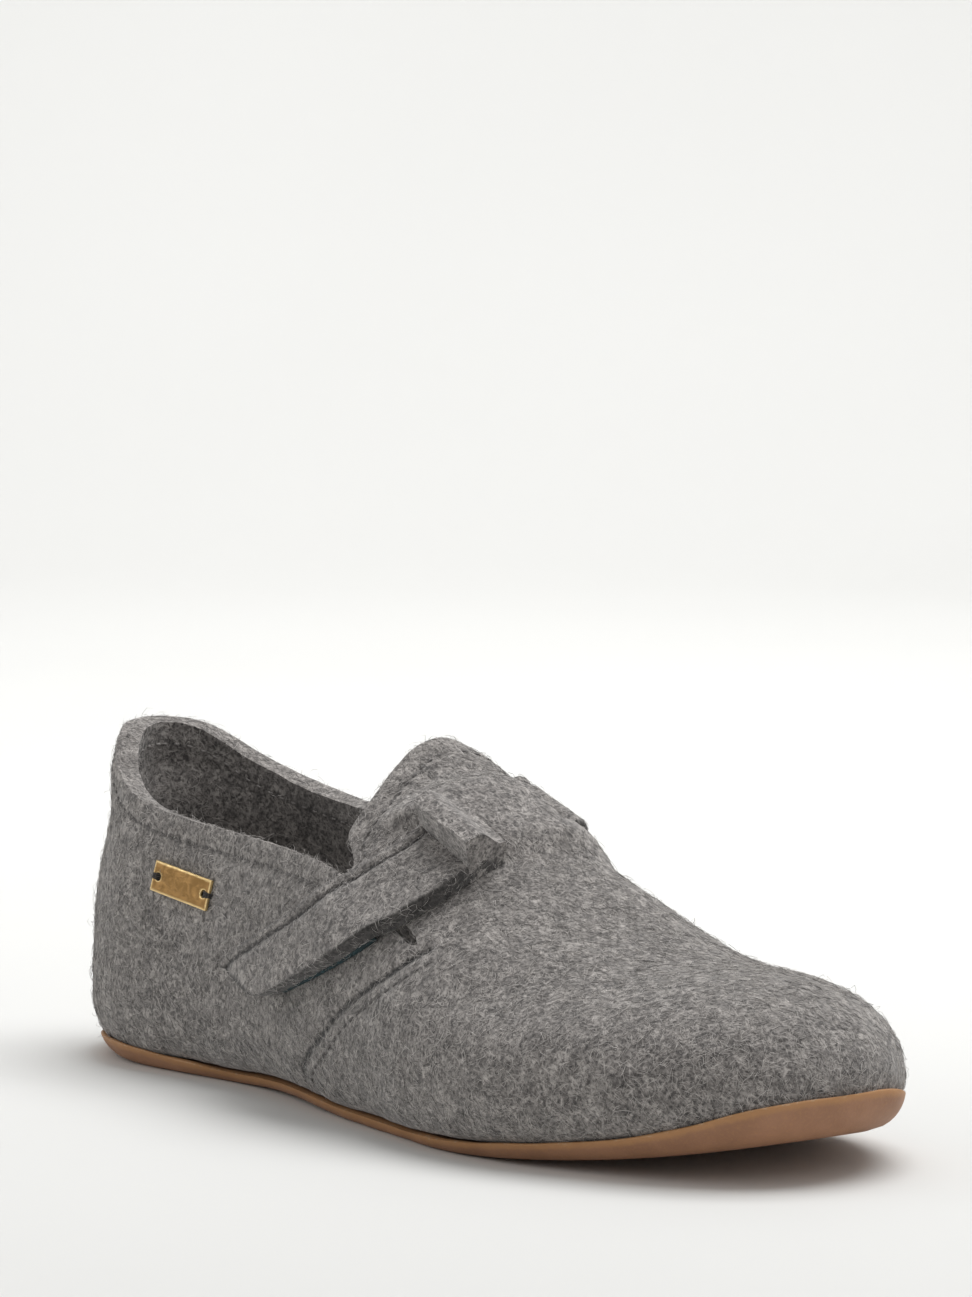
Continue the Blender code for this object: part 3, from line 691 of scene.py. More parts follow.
def bridge_frame():
    near = strap_edges(BRIDGE_WIDTH / 2)
    far = strap_edges(-BRIDGE_WIDTH / 2)
    across = (near[0] + near[1] - far[0] - far[1]) / 2
    length = (near[0] + far[0] - near[1] - far[1]) / 2
    middle, _ = on_last((near[0] + near[1] + far[0] + far[1]) / 4)
    return np.array(middle), np.array(across), np.array(length)


def bridge_rise(points):
    """How far the felt between the slits is lifted by the strap below it."""
    middle, across, length = bridge_frame()
    away = points - middle
    half = np.linalg.norm(length) / 2
    wide = np.linalg.norm(across) / 2
    aside = abs(away @ across) / (2 * wide)
    ahead = abs(away @ length) / (2 * half)
    sideways = 1 - smooth_step(aside, wide, wide + BRIDGE_FADE)
    lengthways = 1 - smooth_step(ahead, half - BRIDGE_ENDS_IN, half + BRIDGE_ENDS_OUT)
    high = points[:, 2] > BULGE_HEIGHT * 2
    return BRIDGE_RISE * sideways * lengthways * high


def vertex_normals(mesh):
    normals = np.empty(len(mesh.vertices) * 3)
    mesh.vertex_normals.foreach_get("vector", normals)
    return normals.reshape(-1, 3)


def vertex_places(mesh):
    places = np.empty(len(mesh.vertices) * 3)
    mesh.vertices.foreach_get("co", places)
    return places.reshape(-1, 3)


def set_places(mesh, places):
    mesh.vertices.foreach_set("co", np.asarray(places, float).reshape(-1))
    mesh.update()


def add_measure(mesh, name, values):
    """Keeps a number at each vertex, which a material reads by its name."""
    layer = mesh.attributes.new(name, "FLOAT", "POINT")
    layer.data.foreach_set("value", np.asarray(values, float))


def trough(distance, width):
    return np.exp(-(distance / width) ** 2)


def rounded_edge(middle, edge, up, half, radius):
    """Places around one long edge of a band, from the face that up points to, to the other face."""
    places = []
    for turn, face in ((30, 1), (60, 1), (90, 1), (90, -1), (60, -1), (30, -1)):
        a = math.radians(turn)
        rise = half - radius + radius * math.cos(a)
        places.append(middle + edge * radius * math.sin(a) + up * face * rise)
    return places


def band_solid(name, alongs, shares_at, height_at, thickness, lanes, material, rounding=0.0006):
    """A closed band on the strap's route with rounded long edges."""
    middles, ups = band_grid(alongs, shares_at, height_at, lanes)
    half = thickness / 2
    radius = min(half, rounding)
    sections = []
    for middle, up in zip(middles, ups):
        edge_first = middle[0] - middle[1]
        edge_first /= np.linalg.norm(edge_first)
        edge_last = middle[-1] - middle[-2]
        edge_last /= np.linalg.norm(edge_last)
        ring = [m + u * half for m, u in zip(middle, up)]
        ring += rounded_edge(middle[-1], edge_last, up[-1], half, radius)
        ring += [m - u * half for m, u in zip(middle[::-1], up[::-1])]
        ring += rounded_edge(middle[0], edge_first, -up[0], half, radius)
        sections.append(ring)
    size = len(sections[0])
    points = [p for ring in sections for p in ring]
    faces = grid_faces(len(sections), size, closed=True)
    for row in (0, len(sections) - 1):
        faces.append([row * size + k for k in range(size)])
    return object_from(name, points, faces, material), np.array(sections)


# Materials

def rgba(color, share=1.0):
    """A color as four numbers, darker or lighter by a share."""
    return (*[c * share for c in color], 1.0)


class Nodes:
    """Short ways to build a node tree."""

    def __init__(self, tree):
        self.tree = tree

    def node(self, kind, **settings):
        made = self.tree.nodes.new(kind)
        for key, value in settings.items():
            setattr(made, key, value)
        return made

    def link(self, source, target):
        self.tree.links.new(source, target)

    def put(self, socket, value):
        if isinstance(value, bpy.types.NodeSocket):
            self.link(value, socket)
        else:
            socket.default_value = value

    def math(self, operation, first, second=0.0, clamp=False):
        made = self.node("ShaderNodeMath", operation=operation, use_clamp=clamp)
        self.put(made.inputs[0], first)
        self.put(made.inputs[1], second)
        return made.outputs[0]

    def noise(self, vector, scale, detail=2.0, roughness=0.5, distortion=0.0):
        made = self.node("ShaderNodeTexNoise")
        self.put(made.inputs["Vector"], vector)
        self.put(made.inputs["Scale"], scale)
        made.inputs["Detail"].default_value = detail
        made.inputs["Roughness"].default_value = roughness
        made.inputs["Distortion"].default_value = distortion
        return made.outputs[0]

    def ramp(self, value, low, high, out_low=0.0, out_high=1.0):
        made = self.node("ShaderNodeMapRange", interpolation_type="SMOOTHSTEP")
        self.put(made.inputs[0], value)
        for socket, number in zip(made.inputs[1:5], (low, high, out_low, out_high)):
            self.put(socket, number)
        return made.outputs[0]

    def mix(self, share, first, second, blend="MIX"):
        made = self.node("ShaderNodeMix", data_type="RGBA", blend_type=blend)
        self.put(made.inputs[0], share)
        self.put(made.inputs[6], first)
        self.put(made.inputs[7], second)
        return made.outputs[2]

    def stretched(self, vector, turn, stretch):
        made = self.node("ShaderNodeMapping", vector_type="TEXTURE")
        self.put(made.inputs["Vector"], vector)
        made.inputs["Rotation"].default_value = turn
        made.inputs["Scale"].default_value = stretch
        return made.outputs[0]

    def measure(self, name):
        """A number that is kept at the vertices."""
        return self.node("ShaderNodeAttribute", attribute_name=name).outputs["Fac"]

    def bump(self, shader, height, strength, distance):
        raised = self.node("ShaderNodeBump")
        raised.inputs["Strength"].default_value = strength
        raised.inputs["Distance"].default_value = distance
        self.link(height, raised.inputs["Height"])
        self.link(raised.outputs[0], shader.inputs["Normal"])


def new_group(name, inputs, outputs):
    group = bpy.data.node_groups.new(name, "ShaderNodeTree")
    for label, kind in inputs:
        group.interface.new_socket(label, in_out="INPUT", socket_type=kind)
    for label, kind in outputs:
        group.interface.new_socket(label, in_out="OUTPUT", socket_type=kind)
    nodes = Nodes(group)
    return group, nodes, nodes.node("NodeGroupInput").outputs, nodes.node("NodeGroupOutput").inputs


def felt_fibre_group():
    """Crossing wool fibres, light and dark, over a cloudy mix of tones."""
    if "felt fibres" in bpy.data.node_groups:
        return bpy.data.node_groups["felt fibres"]
    group, n, given, out = new_group(
        "felt fibres",
        (("Place", "NodeSocketVector"), ("Base", "NodeSocketColor"), ("Light", "NodeSocketColor"),
         ("Dark", "NodeSocketColor")),
        (("Color", "NodeSocketColor"),))
    place = given["Place"]
    light = None
    dark = None
    for turn, stretch, scale in (
            ((0.3, 0.2, 0.1), (2.6, 1.0, 1.0), 430.0), ((0.9, 0.1, 0.8), (1.0, 2.4, 1.0), 520.0),
            ((0.2, 1.1, 1.7), (1.0, 1.0, 2.8), 380.0)):
        value = n.noise(n.stretched(place, turn, stretch), scale, 1.0, 0.5, 1.4)
        thread = n.ramp(n.math("ABSOLUTE", n.math("SUBTRACT", value, 0.54)), 0.0, 0.040, 1.0, 0.0)
        light = thread if light is None else n.math("MAXIMUM", light, thread)
        gap = n.ramp(n.math("ABSOLUTE", n.math("SUBTRACT", value, 0.42)), 0.0, 0.055, 1.0, 0.0)
        dark = gap if dark is None else n.math("MAXIMUM", dark, gap)
    cloud = n.noise(place, 120.0, 2.0, 0.6)
    grain = n.noise(place, 1100.0, 2.0, 0.65)
    patch = n.noise(place, 330.0, 1.0, 0.6, 0.8)
    few = n.ramp(patch, 0.40, 0.62)
    tone = n.math("ADD", n.math("MULTIPLY", cloud, 0.55), n.math("MULTIPLY", patch, 0.45))
    base = n.mix(n.ramp(tone, 0.38, 0.62), n.mix(0.30, given["Base"], given["Dark"]),
                 n.mix(0.10, given["Base"], given["Light"]))
    base = n.mix(n.math("MULTIPLY", dark, 0.55), base, given["Dark"])
    seen = n.math("ADD", n.math("MULTIPLY", few, 0.45), 0.12)
    base = n.mix(n.math("MULTIPLY", light, seen), base, given["Light"])
    base = n.mix(n.ramp(grain, 0.38, 0.68, 0.0, 0.30), base, given["Light"])
    base = n.mix(n.ramp(grain, 0.30, 0.46, 0.40, 0.0), base, given["Dark"])
    n.link(base, out["Color"])
    return group


def line_shade_group():
    """Dark line near a seam or row of stitches, where the felt is pressed, and painted shade near the cut
    faces of the slits and the strap, from a distance kept at the vertices.
    """
    if "dark line and painted shade" in bpy.data.node_groups:
        return bpy.data.node_groups["dark line and painted shade"]
    group, n, given, out = new_group(
        "dark line and painted shade",
        (("Distance", "NodeSocketFloat"), ("Width", "NodeSocketFloat"), ("Place", "NodeSocketVector")),
        (("Mask", "NodeSocketFloat"),))
    ragged = n.math("MULTIPLY", n.math("SUBTRACT", n.noise(given["Place"], 700.0, 2.0), 0.5), 0.0009)
    away = n.math("ADD", given["Distance"], ragged)
    n.link(n.ramp(away, n.math("MULTIPLY", given["Width"], 0.25), given["Width"], 1.0, 0.0), out["Mask"])
    return group


def new_material(name):
    made = bpy.data.materials.new(name)
    made.use_nodes = True
    nodes = Nodes(made.node_tree)
    shader = made.node_tree.nodes["Principled BSDF"]
    place = nodes.node("ShaderNodeTexCoord").outputs["Object"]
    return made, nodes, shader, place


def placed_group(nodes, group, **values):
    made = nodes.node("ShaderNodeGroup")
    made.node_tree = group
    for key, value in values.items():
        nodes.put(made.inputs[key], value)
    return made.outputs


def felt_material(name, base, light, dark, lines=()):
    made, n, shader, place = new_material(name)
    color = placed_group(n, felt_fibre_group(), Place=place, Base=base, Light=light, Dark=dark)["Color"]
    height = n.math("MULTIPLY", n.noise(place, 700.0, 2.0, 0.7, 0.6), 2.0)
    # Each line darkens the felt near it: seams and rows of stitches, and painted shade near the cut faces of
    # the slits and the strap's sides and ends (the cut measure).
    for measure, width, depth, shade in lines:
        distance = n.measure(measure)
        mask = placed_group(n, line_shade_group(), Distance=distance, Width=width, Place=place)["Mask"]
        color = n.mix(n.math("MULTIPLY", mask, shade), color, rgba(dark[:3], 0.35))
        height = n.math("SUBTRACT", height, n.math("MULTIPLY", mask, depth))
    n.link(color, shader.inputs["Base Color"])
    n.bump(shader, height, 0.3, 0.0004)
    shader.inputs["Roughness"].default_value = 0.95
    shader.inputs["Specular IOR Level"].default_value = 0.15
    shader.inputs["Sheen Weight"].default_value = 0.25
    shader.inputs["Sheen Roughness"].default_value = 0.6
    return made


def fibre_material(name, light, dark):
    """Loose fibres, each with its own tone kept at its vertices."""
    made, n, shader, _ = new_material(name)
    tone = n.measure("tone")
    n.link(n.mix(tone, dark, light), shader.inputs["Base Color"])
    shader.inputs["Roughness"].default_value = 0.85
    shader.inputs["Specular IOR Level"].default_value = 0.2
    return made


def rubber_material(settings):
    made, n, shader, place = new_material("tan sole")
    base = rgba(settings.sole_color)
    warm = rgba(settings.sole_edge_color)
    cloud = n.noise(place, 60.0, 4.0, 0.6)
    grain = n.noise(place, 1600.0, 3.0, 0.6)
    color = n.mix(n.ramp(cloud, 0.35, 0.65), base, rgba(settings.sole_color, 0.82))
    edge = n.measure("edge")
    uneven = n.math("SUBTRACT", n.noise(place, 350.0, 3.0), 0.5)
    ragged = n.math("ADD", edge, n.math("MULTIPLY", uneven, 0.0012))
    strip = n.ramp(ragged, 0.0006, 0.0022, 1.0, 0.0)
    color = n.mix(n.math("MULTIPLY", strip, 0.65), color, warm)
    fuzz = n.ramp(ragged, 0.0001, 0.0006, 1.0, 0.0)
    dust = n.ramp(n.noise(place, 900.0, 3.0, 0.7), 0.50, 0.62)
    color = n.mix(n.math("MULTIPLY", n.math("MULTIPLY", fuzz, dust), 0.7), color, (0.50, 0.36, 0.24, 1.0))
    color = n.mix(n.math("MULTIPLY", n.ramp(grain, 0.45, 0.75), 0.25), color, warm)
    n.link(color, shader.inputs["Base Color"])
    n.link(n.ramp(cloud, 0.3, 0.7, 0.50, 0.66), shader.inputs["Roughness"])
    n.bump(shader, n.math("ADD", grain, n.math("MULTIPLY", cloud, 2.0)), 0.25, 0.0003)
    shader.inputs["Specular IOR Level"].default_value = 0.35
    return made


def brass_material(settings):
    made, n, shader, place = new_material("antique brass plate")
    base = rgba(settings.brass_color)
    edge = n.measure("edge")
    patina = n.ramp(n.noise(place, 420.0, 4.0, 0.65, 0.6), 0.42, 0.62)
    fine = n.noise(n.stretched(place, (0.0, 0.0, 0.0), (1.0, 12.0, 1.0)), 2600.0, 3.0, 0.6)
    uneven = n.math("MULTIPLY", n.math("SUBTRACT", fine, 0.5), 0.0006)
    # Painted highlight: the plate's edges and the rims of its holes are painted in a light brass tone, where
    # the brass is also rubbed bare.
    worn = n.ramp(n.math("ADD", edge, uneven), 0.0, 0.0007, 1.0, 0.0)
    color = n.mix(n.math("MULTIPLY", patina, 0.55), base, rgba(settings.patina_color))
    color = n.mix(worn, color, rgba(settings.worn_highlight_color))
    n.link(color, shader.inputs["Base Color"])
    n.link(n.math("ADD", n.math("MULTIPLY", patina, 0.22), 0.30), shader.inputs["Roughness"])
    shader.inputs["Metallic"].default_value = 1.0
    n.bump(shader, n.math("ADD", fine, patina), 0.3, 0.0001)
    return made


def tape_material(settings):
    made, n, shader, place = new_material("hook tape")
    weave = n.node("ShaderNodeTexWave", wave_type="BANDS", bands_direction="DIAGONAL")
    n.put(weave.inputs["Vector"], place)
    weave.inputs["Scale"].default_value = 420.0
    weave.inputs["Distortion"].default_value = 2.0
    grain = n.noise(place, 1500.0, 2.0)
    share = n.math("MULTIPLY", weave.outputs["Fac"], n.ramp(grain, 0.3, 0.7))
    tape = rgba(settings.tape_color)
    n.link(n.mix(share, tape, rgba(settings.tape_color, 3.2)), shader.inputs["Base Color"])
    shader.inputs["Roughness"].default_value = 0.7
    n.bump(shader, share, 0.6, 0.0004)
    return made


def thread_material(name, color):
    made, n, shader, place = new_material(name)
    twist = n.noise(place, 2400.0, 2.0, 0.6)
    tone = n.mix(n.ramp(twist, 0.35, 0.65), rgba(color, 0.55), rgba(color))
    n.link(tone, shader.inputs["Base Color"])
    shader.inputs["Roughness"].default_value = 0.6
    n.bump(shader, twist, 0.5, 0.0002)
    return made


# Loose fibres and stitches

def fibre_mesh(name, places, normals, rng, length, radius, lift, material):
    """Thin closed curved fibres lying on a surface, some standing a little away from it."""
    count = len(places)
    normals = normals / (np.linalg.norm(normals, axis=1)[:, None] + 1e-12)
    along = np.cross(normals, rng.normal(size=(count, 3)))
    along /= np.linalg.norm(along, axis=1)[:, None] + 1e-12
    across = np.cross(normals, along)
    size = length * rng.uniform(0.4, 1.6, count)[:, None]
    bend = rng.normal(0.0, 0.24, count)[:, None] * size
    rise = (rng.exponential(0.7, count) * rng.uniform(0.0, 1.0, count))[:, None] * lift
    middle_rise = rise * rng.uniform(0.3, 1.3, count)[:, None]
    start = places - along * size / 2 - normals * 0.00012
    one = places - along * size / 6 + across * bend * 0.8 + normals * (middle_rise + 0.00005)
    two = places + along * size / 6 + across * bend + normals * (middle_rise + rise * 0.5 + 0.00005)
    end_rise = rise * rng.uniform(-0.2, 1.4, count)[:, None]
    end = places + along * size / 2 + across * bend * 0.3 + normals * end_rise
    width = radius * rng.uniform(0.6, 1.3, count)[:, None]
    points = np.empty((count, 8, 3))
    points[:, 0] = start
    points[:, 7] = end
    for k in range(3):
        a = 2 * math.pi * k / 3
        offset = across * math.cos(a) * width + normals * math.sin(a) * width
        points[:, 1 + k] = one + offset
        points[:, 4 + k] = two + offset
    faces = []
    for k in range(3):
        after = (k + 1) % 3
        faces += [(0, 1 + after, 1 + k), (1 + k, 1 + after, 4 + after)]
        faces += [(1 + k, 4 + after, 4 + k), (7, 4 + k, 4 + after)]
    faces = (np.arange(count)[:, None, None] * 8 + np.array(faces)[None]).reshape(-1, 3)
    mesh = bpy.data.meshes.new(name)
    mesh.vertices.add(count * 8)
    mesh.vertices.foreach_set("co", points.reshape(-1))
    mesh.loops.add(len(faces) * 3)
    mesh.loops.foreach_set("vertex_index", faces.reshape(-1).astype(np.int32))
    mesh.polygons.add(len(faces))
    mesh.polygons.foreach_set("loop_start", np.arange(0, len(faces) * 3, 3, dtype=np.int32))
    mesh.update(calc_edges=True)
    mesh.validate()
    mesh.shade_smooth()
    pale = rng.random(count) < 0.7
    tone = np.where(pale, rng.uniform(0.45, 1.0, count), rng.uniform(0.1, 0.3, count))
    add_measure(mesh, "tone", np.repeat(tone, 8))
    mesh.materials.append(material)
    made = bpy.data.objects.new(name, mesh)
    bpy.context.scene.collection.objects.link(made)
    return made


def face_samples(mesh, count, rng, weight):
    """Random places on a mesh, by area times a weight of the face's middle and direction."""
    mesh.calc_loop_triangles()
    corners = np.empty(len(mesh.loop_triangles) * 3, np.int32)
    mesh.loop_triangles.foreach_get("vertices", corners)
    corners = corners.reshape(-1, 3)
    places = vertex_places(mesh)
    a, b, c = (places[corners[:, k]] for k in range(3))
    normal = np.cross(b - a, c - a)
    area = np.linalg.norm(normal, axis=1)
    normal /= area[:, None] + 1e-15
    chance = area * weight((a + b + c) / 3, normal)
    picks = np.searchsorted(np.cumsum(chance) / chance.sum(), rng.random(count))
    picks = np.minimum(picks, len(corners) - 1)
    u = rng.random(count)
    v = rng.random(count)
    over = u + v > 1
    u[over] = 1 - u[over]
    v[over] = 1 - v[over]
    spots = a[picks] + (b - a)[picks] * u[:, None] + (c - a)[picks] * v[:, None]
    return spots, normal[picks]


def stitch_row(name, path, normals_at, settings, material, length=None, gap=None):
    """A row of sunk stitches along a path, each a thin capsule that dives into the felt at both ends."""
    length = length or settings.stitch_length
    gap = gap or settings.stitch_gap
    pitch = length + gap
    line = even_path(path, pitch / 8)
    count = (len(line) - 1) // 8
    radius = settings.thread_diameter / 2
    points = []
    faces = []
    sides = 6
    lift = 0.00005
    for start in range(0, count * 8, 8):
        spots = []
        for k in range(7):
            share = k / 6
            where = start + share * 8 * length / pitch
            i = int(where)
            place = line[i] + (line[min(i + 1, len(line) - 1)] - line[i]) * (where - i)
            normal = normals_at(place)
            dive = radius * 2.6 * (abs(share * 2 - 1) ** 3)
            spots.append((place + normal * (radius * 0.35 + lift - dive), normal))
        first = len(points)
        direction = spots[-1][0] - spots[0][0]
        direction /= np.linalg.norm(direction)
        for k, (spot, normal) in enumerate(spots):
            across = np.cross(direction, normal)
            across /= np.linalg.norm(across)
            up = np.cross(across, direction)
            thick = radius * STITCH_PROFILE[k]
            for s in range(sides):
                a = 2 * math.pi * s / sides
                points.append(spot + across * math.cos(a) * thick + up * math.sin(a) * thick)
        faces += grid_faces(7, sides, first, closed=True)
        faces.append([first + s for s in range(sides)])
        faces.append([first + 6 * sides + s for s in range(sides)])
    return object_from(name, points, faces, material, 60)


def normals_from(tree):
    def find(place):
        return np.array(tree.find_nearest(Vector(place))[1])
    return find


def tree_of(piece):
    return BVHTree.FromObject(piece, bpy.context.evaluated_depsgraph_get())


# Settings

def color_setting(name, description, default):
    return bpy.props.FloatVectorProperty(
        name=name, description=description, default=default, size=3, subtype="COLOR")


def length_setting(name, description, default):
    return bpy.props.FloatProperty(name=name, description=description, default=default, unit="LENGTH")


class SlipperSettings(bpy.types.PropertyGroup):
    felt_color: color_setting(
        name="Felt", description="Main tone of the grey felt", default=(0.128, 0.116, 0.110))
    felt_light: color_setting(
        name="Light fibres", description="Tone of the light wool fibres", default=(0.62, 0.58, 0.55))
    felt_dark: color_setting(
        name="Dark fibres", description="Tone of the dark wool fibres", default=(0.030, 0.029, 0.029))
    # Darker than the outer felt: painted shade for the inside of the slipper.
    insole_shade_color: color_setting(
        name="Insole felt", description="Main tone of the insole, darkened as painted shade", default=(0.075, 0.068, 0.066))
    fibre_length: length_setting(
        name="Fibre length", description="Usual length of a loose fibre", default=0.0034)
    fibre_radius: length_setting(
        name="Fibre radius", description="Half thickness of a loose fibre", default=0.00004)
    fibre_color: color_setting(
        name="Loose fibres", description="Tone of the lightest loose fibres", default=(0.80, 0.76, 0.73))
    fibre_count: bpy.props.IntProperty(
        name="Fibres", description="Loose fibres on each third of the upper", default=15500, min=0, max=16000)
    stitch_length: length_setting(
        name="Stitch length", description="Seen length of one stitch", default=0.0024)
    stitch_gap: length_setting(
        name="Stitch gap", description="Distance between two stitches", default=0.0008)
    thread_diameter: length_setting(
        name="Thread diameter", description="Thickness of the sewing thread", default=0.0006)
    thread_color: color_setting(
        name="Thread", description="Tone of the grey sewing thread", default=(0.16, 0.15, 0.145))
    sole_color: color_setting(
        name="Sole", description="Tone of the tan sole", default=(0.360, 0.185, 0.105))
    sole_edge_color: color_setting(
        name="Sole edge", description="Warmer strip along the sole's upper edge", default=(0.48, 0.25, 0.10))
    tape_color: color_setting(
        name="Hook tape", description="Tone of the teal hook tape", default=(0.010, 0.026, 0.030))
    brass_color: color_setting(
        name="Brass", description="Tone of the brass", default=(0.27, 0.155, 0.055))
    patina_color: color_setting(
        name="Patina", description="Tone of the aged brass", default=(0.26, 0.15, 0.05))
    # Light tone on the plate's edges and hole rims: painted highlight on rubbed brass.
    worn_highlight_color: color_setting(
        name="Worn brass highlight", description="Tone of the rubbed edges with their painted highlight", default=(0.90, 0.68, 0.34))
    floor_color: color_setting(
        name="Floor", description="Tone of the studio floor", default=(0.77, 0.77, 0.757))
    key_power: bpy.props.FloatProperty(
        name="Key light", description="Power of the large light overhead", default=11.5, unit="POWER")


def settings_now():
    return bpy.context.scene.slipper


def shared(name, make):
    """A material that several pieces use, made once."""
    return bpy.data.materials.get(name) or make()


def grey_felt():
    s = settings_now()
    return shared("grey felt outside", lambda: felt_material(
        "grey felt outside", rgba(s.felt_color), rgba(s.felt_light), rgba(s.felt_dark), lines=(
            ("seam", 0.0013, 3.0, 1.0), ("seam_row", 0.0009, 0.9, 0.40),
            # The cut line is painted shade: darker felt near the deep faces of the slits and on the strap's
            # sides and ends.
            ("collar_row", 0.0009, 0.8, 0.38), ("tongue_row", 0.0009, 0.8, 0.38), ("cut", 0.0013, 0.0, 0.75),
            ("strap_row", 0.0010, 2.0, 0.85))))


def loose_fibres():
    s = settings_now()
    return shared("loose wool fibres", lambda: fibre_material(
        "loose wool fibres", rgba(s.fibre_color), rgba(s.felt_dark)))


# Operators

class SLIPPER_OT_upper(bpy.types.Operator):
    """Upper: vamp with tongue and quarter as one hollow felt shell"""
    bl_idname = "slipper.upper"
    bl_label = "Felt upper"

    def execute(self, context):
        points, faces = upper_sheet()
        upper = object_from("felt_upper", points, faces, grey_felt(), 180)
        mesh = upper.data
        places = vertex_places(mesh)
        normals = vertex_normals(mesh)
        if (normals * (places - np.array([0, 0, BULGE_HEIGHT])) * np.array([1, 0, 1])).sum() < 0:
            mesh.flip_normals()
            normals = vertex_normals(mesh)

        drop = np.zeros(len(places))
        # measure, its path on one side, depth and width of its trough
        for measure, path, depth, width in (
                ("seam", seam_path, 0.0009, 0.0016),
                ("seam_row", lambda side: seam_path(side, SEAM_ROW_SHIFT), 0.00035, 0.0014),
                ("collar_row", lambda side: collar_path(side, COLLAR_ROW_DOWN), 0.00035, 0.0014),
                ("tongue_row", lambda side: tongue_path(side, TONGUE_ROW_IN), 0.00035, 0.0014)):
            away = distance_to(places, np.concatenate([path(side) for side in (-1, 1)]))
            drop += depth * trough(away, width)
            add_measure(mesh, measure, away)
        rise = bridge_rise(places) + wobble(places, 0.030, 0.00022, 3) + wobble(places, 0.009, 0.00009, 5)
        rise += flex_folds(places) + heel_profile(places)
        set_places(mesh, places + normals * (rise - drop)[:, None])
        for measure in ("cut", "strap_row"):
            add_measure(mesh, measure, np.full(len(places), 1.0))

        wall = upper.vertex_groups.new(name="wall")
        for index, value in enumerate(wall_at(places) / HEEL_WALL):
            wall.add([index], float(value), "REPLACE")
        shell = upper.modifiers.new("felt wall", "SOLIDIFY")
        shell.thickness = HEEL_WALL
        shell.offset = -1.0
        shell.vertex_group = "wall"
        shell.use_quality_normals = True
        edges = upper.modifiers.new("soft edges", "BEVEL")
        edges.width = 0.0010
        edges.segments = 3
        edges.limit_method = "ANGLE"
        edges.angle_limit = math.radians(50)
        cutters = strap_passage()
        for cutter in cutters:
            cut = upper.modifiers.new(cutter.name, "BOOLEAN")
            cut.operation = "DIFFERENCE"
            cut.solver = "EXACT"
            cut.object = cutter
        apply_modifiers(upper)
        for cutter in cutters:
            bpy.data.objects.remove(cutter)
        # Painted shade: the felt is darkened near the deep faces of both slits, through the cut measure.
        deep = distance_to(vertex_places(upper.data), slit_faces())
        upper.data.attributes["cut"].data.foreach_set("value", deep)
        upper.data.shade_smooth()
        upper.data.set_sharp_from_angle(angle=math.radians(60))
        finish_piece(upper, "grey felt", "upper")
        return {"FINISHED"}


def flex_folds(places):
    """Soft folds and hollows of a worn-in felt upper."""
    rise = np.zeros(len(places))
    # side, station, height, reach along, reach up, depth
    for side, station, height, along, up, depth in (
            (-1, 0.74, 0.036, 0.020, 0.0045, -0.0005), (-1, 0.70, 0.043, 0.022, 0.0040, 0.0004),
            (-1, 0.40, 0.022, 0.022, 0.0080, -0.0007), (1, 0.72, 0.036, 0.020, 0.0050, -0.0005),
            (1, 0.42, 0.024, 0.024, 0.0080, -0.0007)):
        near = ((places[:, 1] - place_of(station)) / along) ** 2 + ((places[:, 2] - height) / up) ** 2
        rise += depth * np.exp(-near) * (np.sign(places[:, 0]) == side)
    return rise


def heel_profile(places):
    """The heel is drawn in at mid height and flares out towards its rim; the tongue is full on top."""
    station = station_of(places[:, 1])
    rear = 1 - smooth_step(station, 0.03, 0.14)
    height = places[:, 2]
    rise = rear * 0.0014 * smooth_step(height, 0.062, 0.070)
    rise -= rear * 0.0012 * trough(height - 0.056, 0.008)
    full = trough(station - 0.485, 0.040) * smooth_step(places[:, 0] - ridge_place(station), 0.0, 0.010)
    return rise + full * 0.0019 * smooth_step(height, 0.062, 0.072)


def strap_room(name, alongs, high):
    """A cutter along the strap's route, up to a height above the strap's middle layer."""
    middles = []
    ups = []
    for along in alongs:
        upper, lower = strap_edges(float(along))
        shares = np.linspace(0.0, 1 + STRAP_CLEARANCE, 9)
        spots = [on_last(upper.lerp(lower, share)) for share in shares]
        height = strap_height(float(along))
        middles.append([place + normal * height for place, normal in spots])
        ups.append([normal for _, normal in spots])
    middles = np.array(middles)
    ups = np.array(ups)
    low = STRAP_THICKNESS / 2 + SOFT_GAP * 2
    sections = np.concatenate([middles + ups * high, (middles - ups * low)[:, ::-1]], 1)
    size = sections.shape[1]
    faces = grid_faces(len(alongs), size, closed=True)
    lanes = size // 2 - 1
    for row in (0, len(alongs) - 1):
        for lane in range(lanes):
            first = row * size + lane
            last = row * size + size - 1 - lane
            faces.append((first, first + 1, last - 1, last))
    return object_from(name, sections.reshape(-1, 3), faces, None)


def slit_faces():
    """Places on the deep faces of both slits, which hardly any light reaches."""
    spots = []
    for along in (BRIDGE_WIDTH / 2 + 0.0006, -BRIDGE_WIDTH / 2 - 0.0006):
        for share in np.linspace(-0.05, 1.05, 40):
            for height in (-0.002, -0.001, 0.0, 0.001, 0.0018):
                spots.append(strap_layer(along, float(share), height))
    return np.array(spots)


def strap_passage():
    """The room that the strap needs through both slits, open above it just outside of the bridge."""
    start = 0.0004
    overrun = 0.0003
    edge = BRIDGE_WIDTH / 2
    outer = edge + SLIT_RAMP + 0.003
    low = STRAP_THICKNESS / 2 + SOFT_GAP
    return [
        strap_room("passage", np.linspace(-outer, outer, 31), low),
        strap_room("lateral_slit", np.linspace(edge + start, outer + overrun, 9), SLIT_DEPTH),
        strap_room("medial_slit", np.linspace(-outer - overrun, -edge - start, 9), SLIT_DEPTH),
    ]


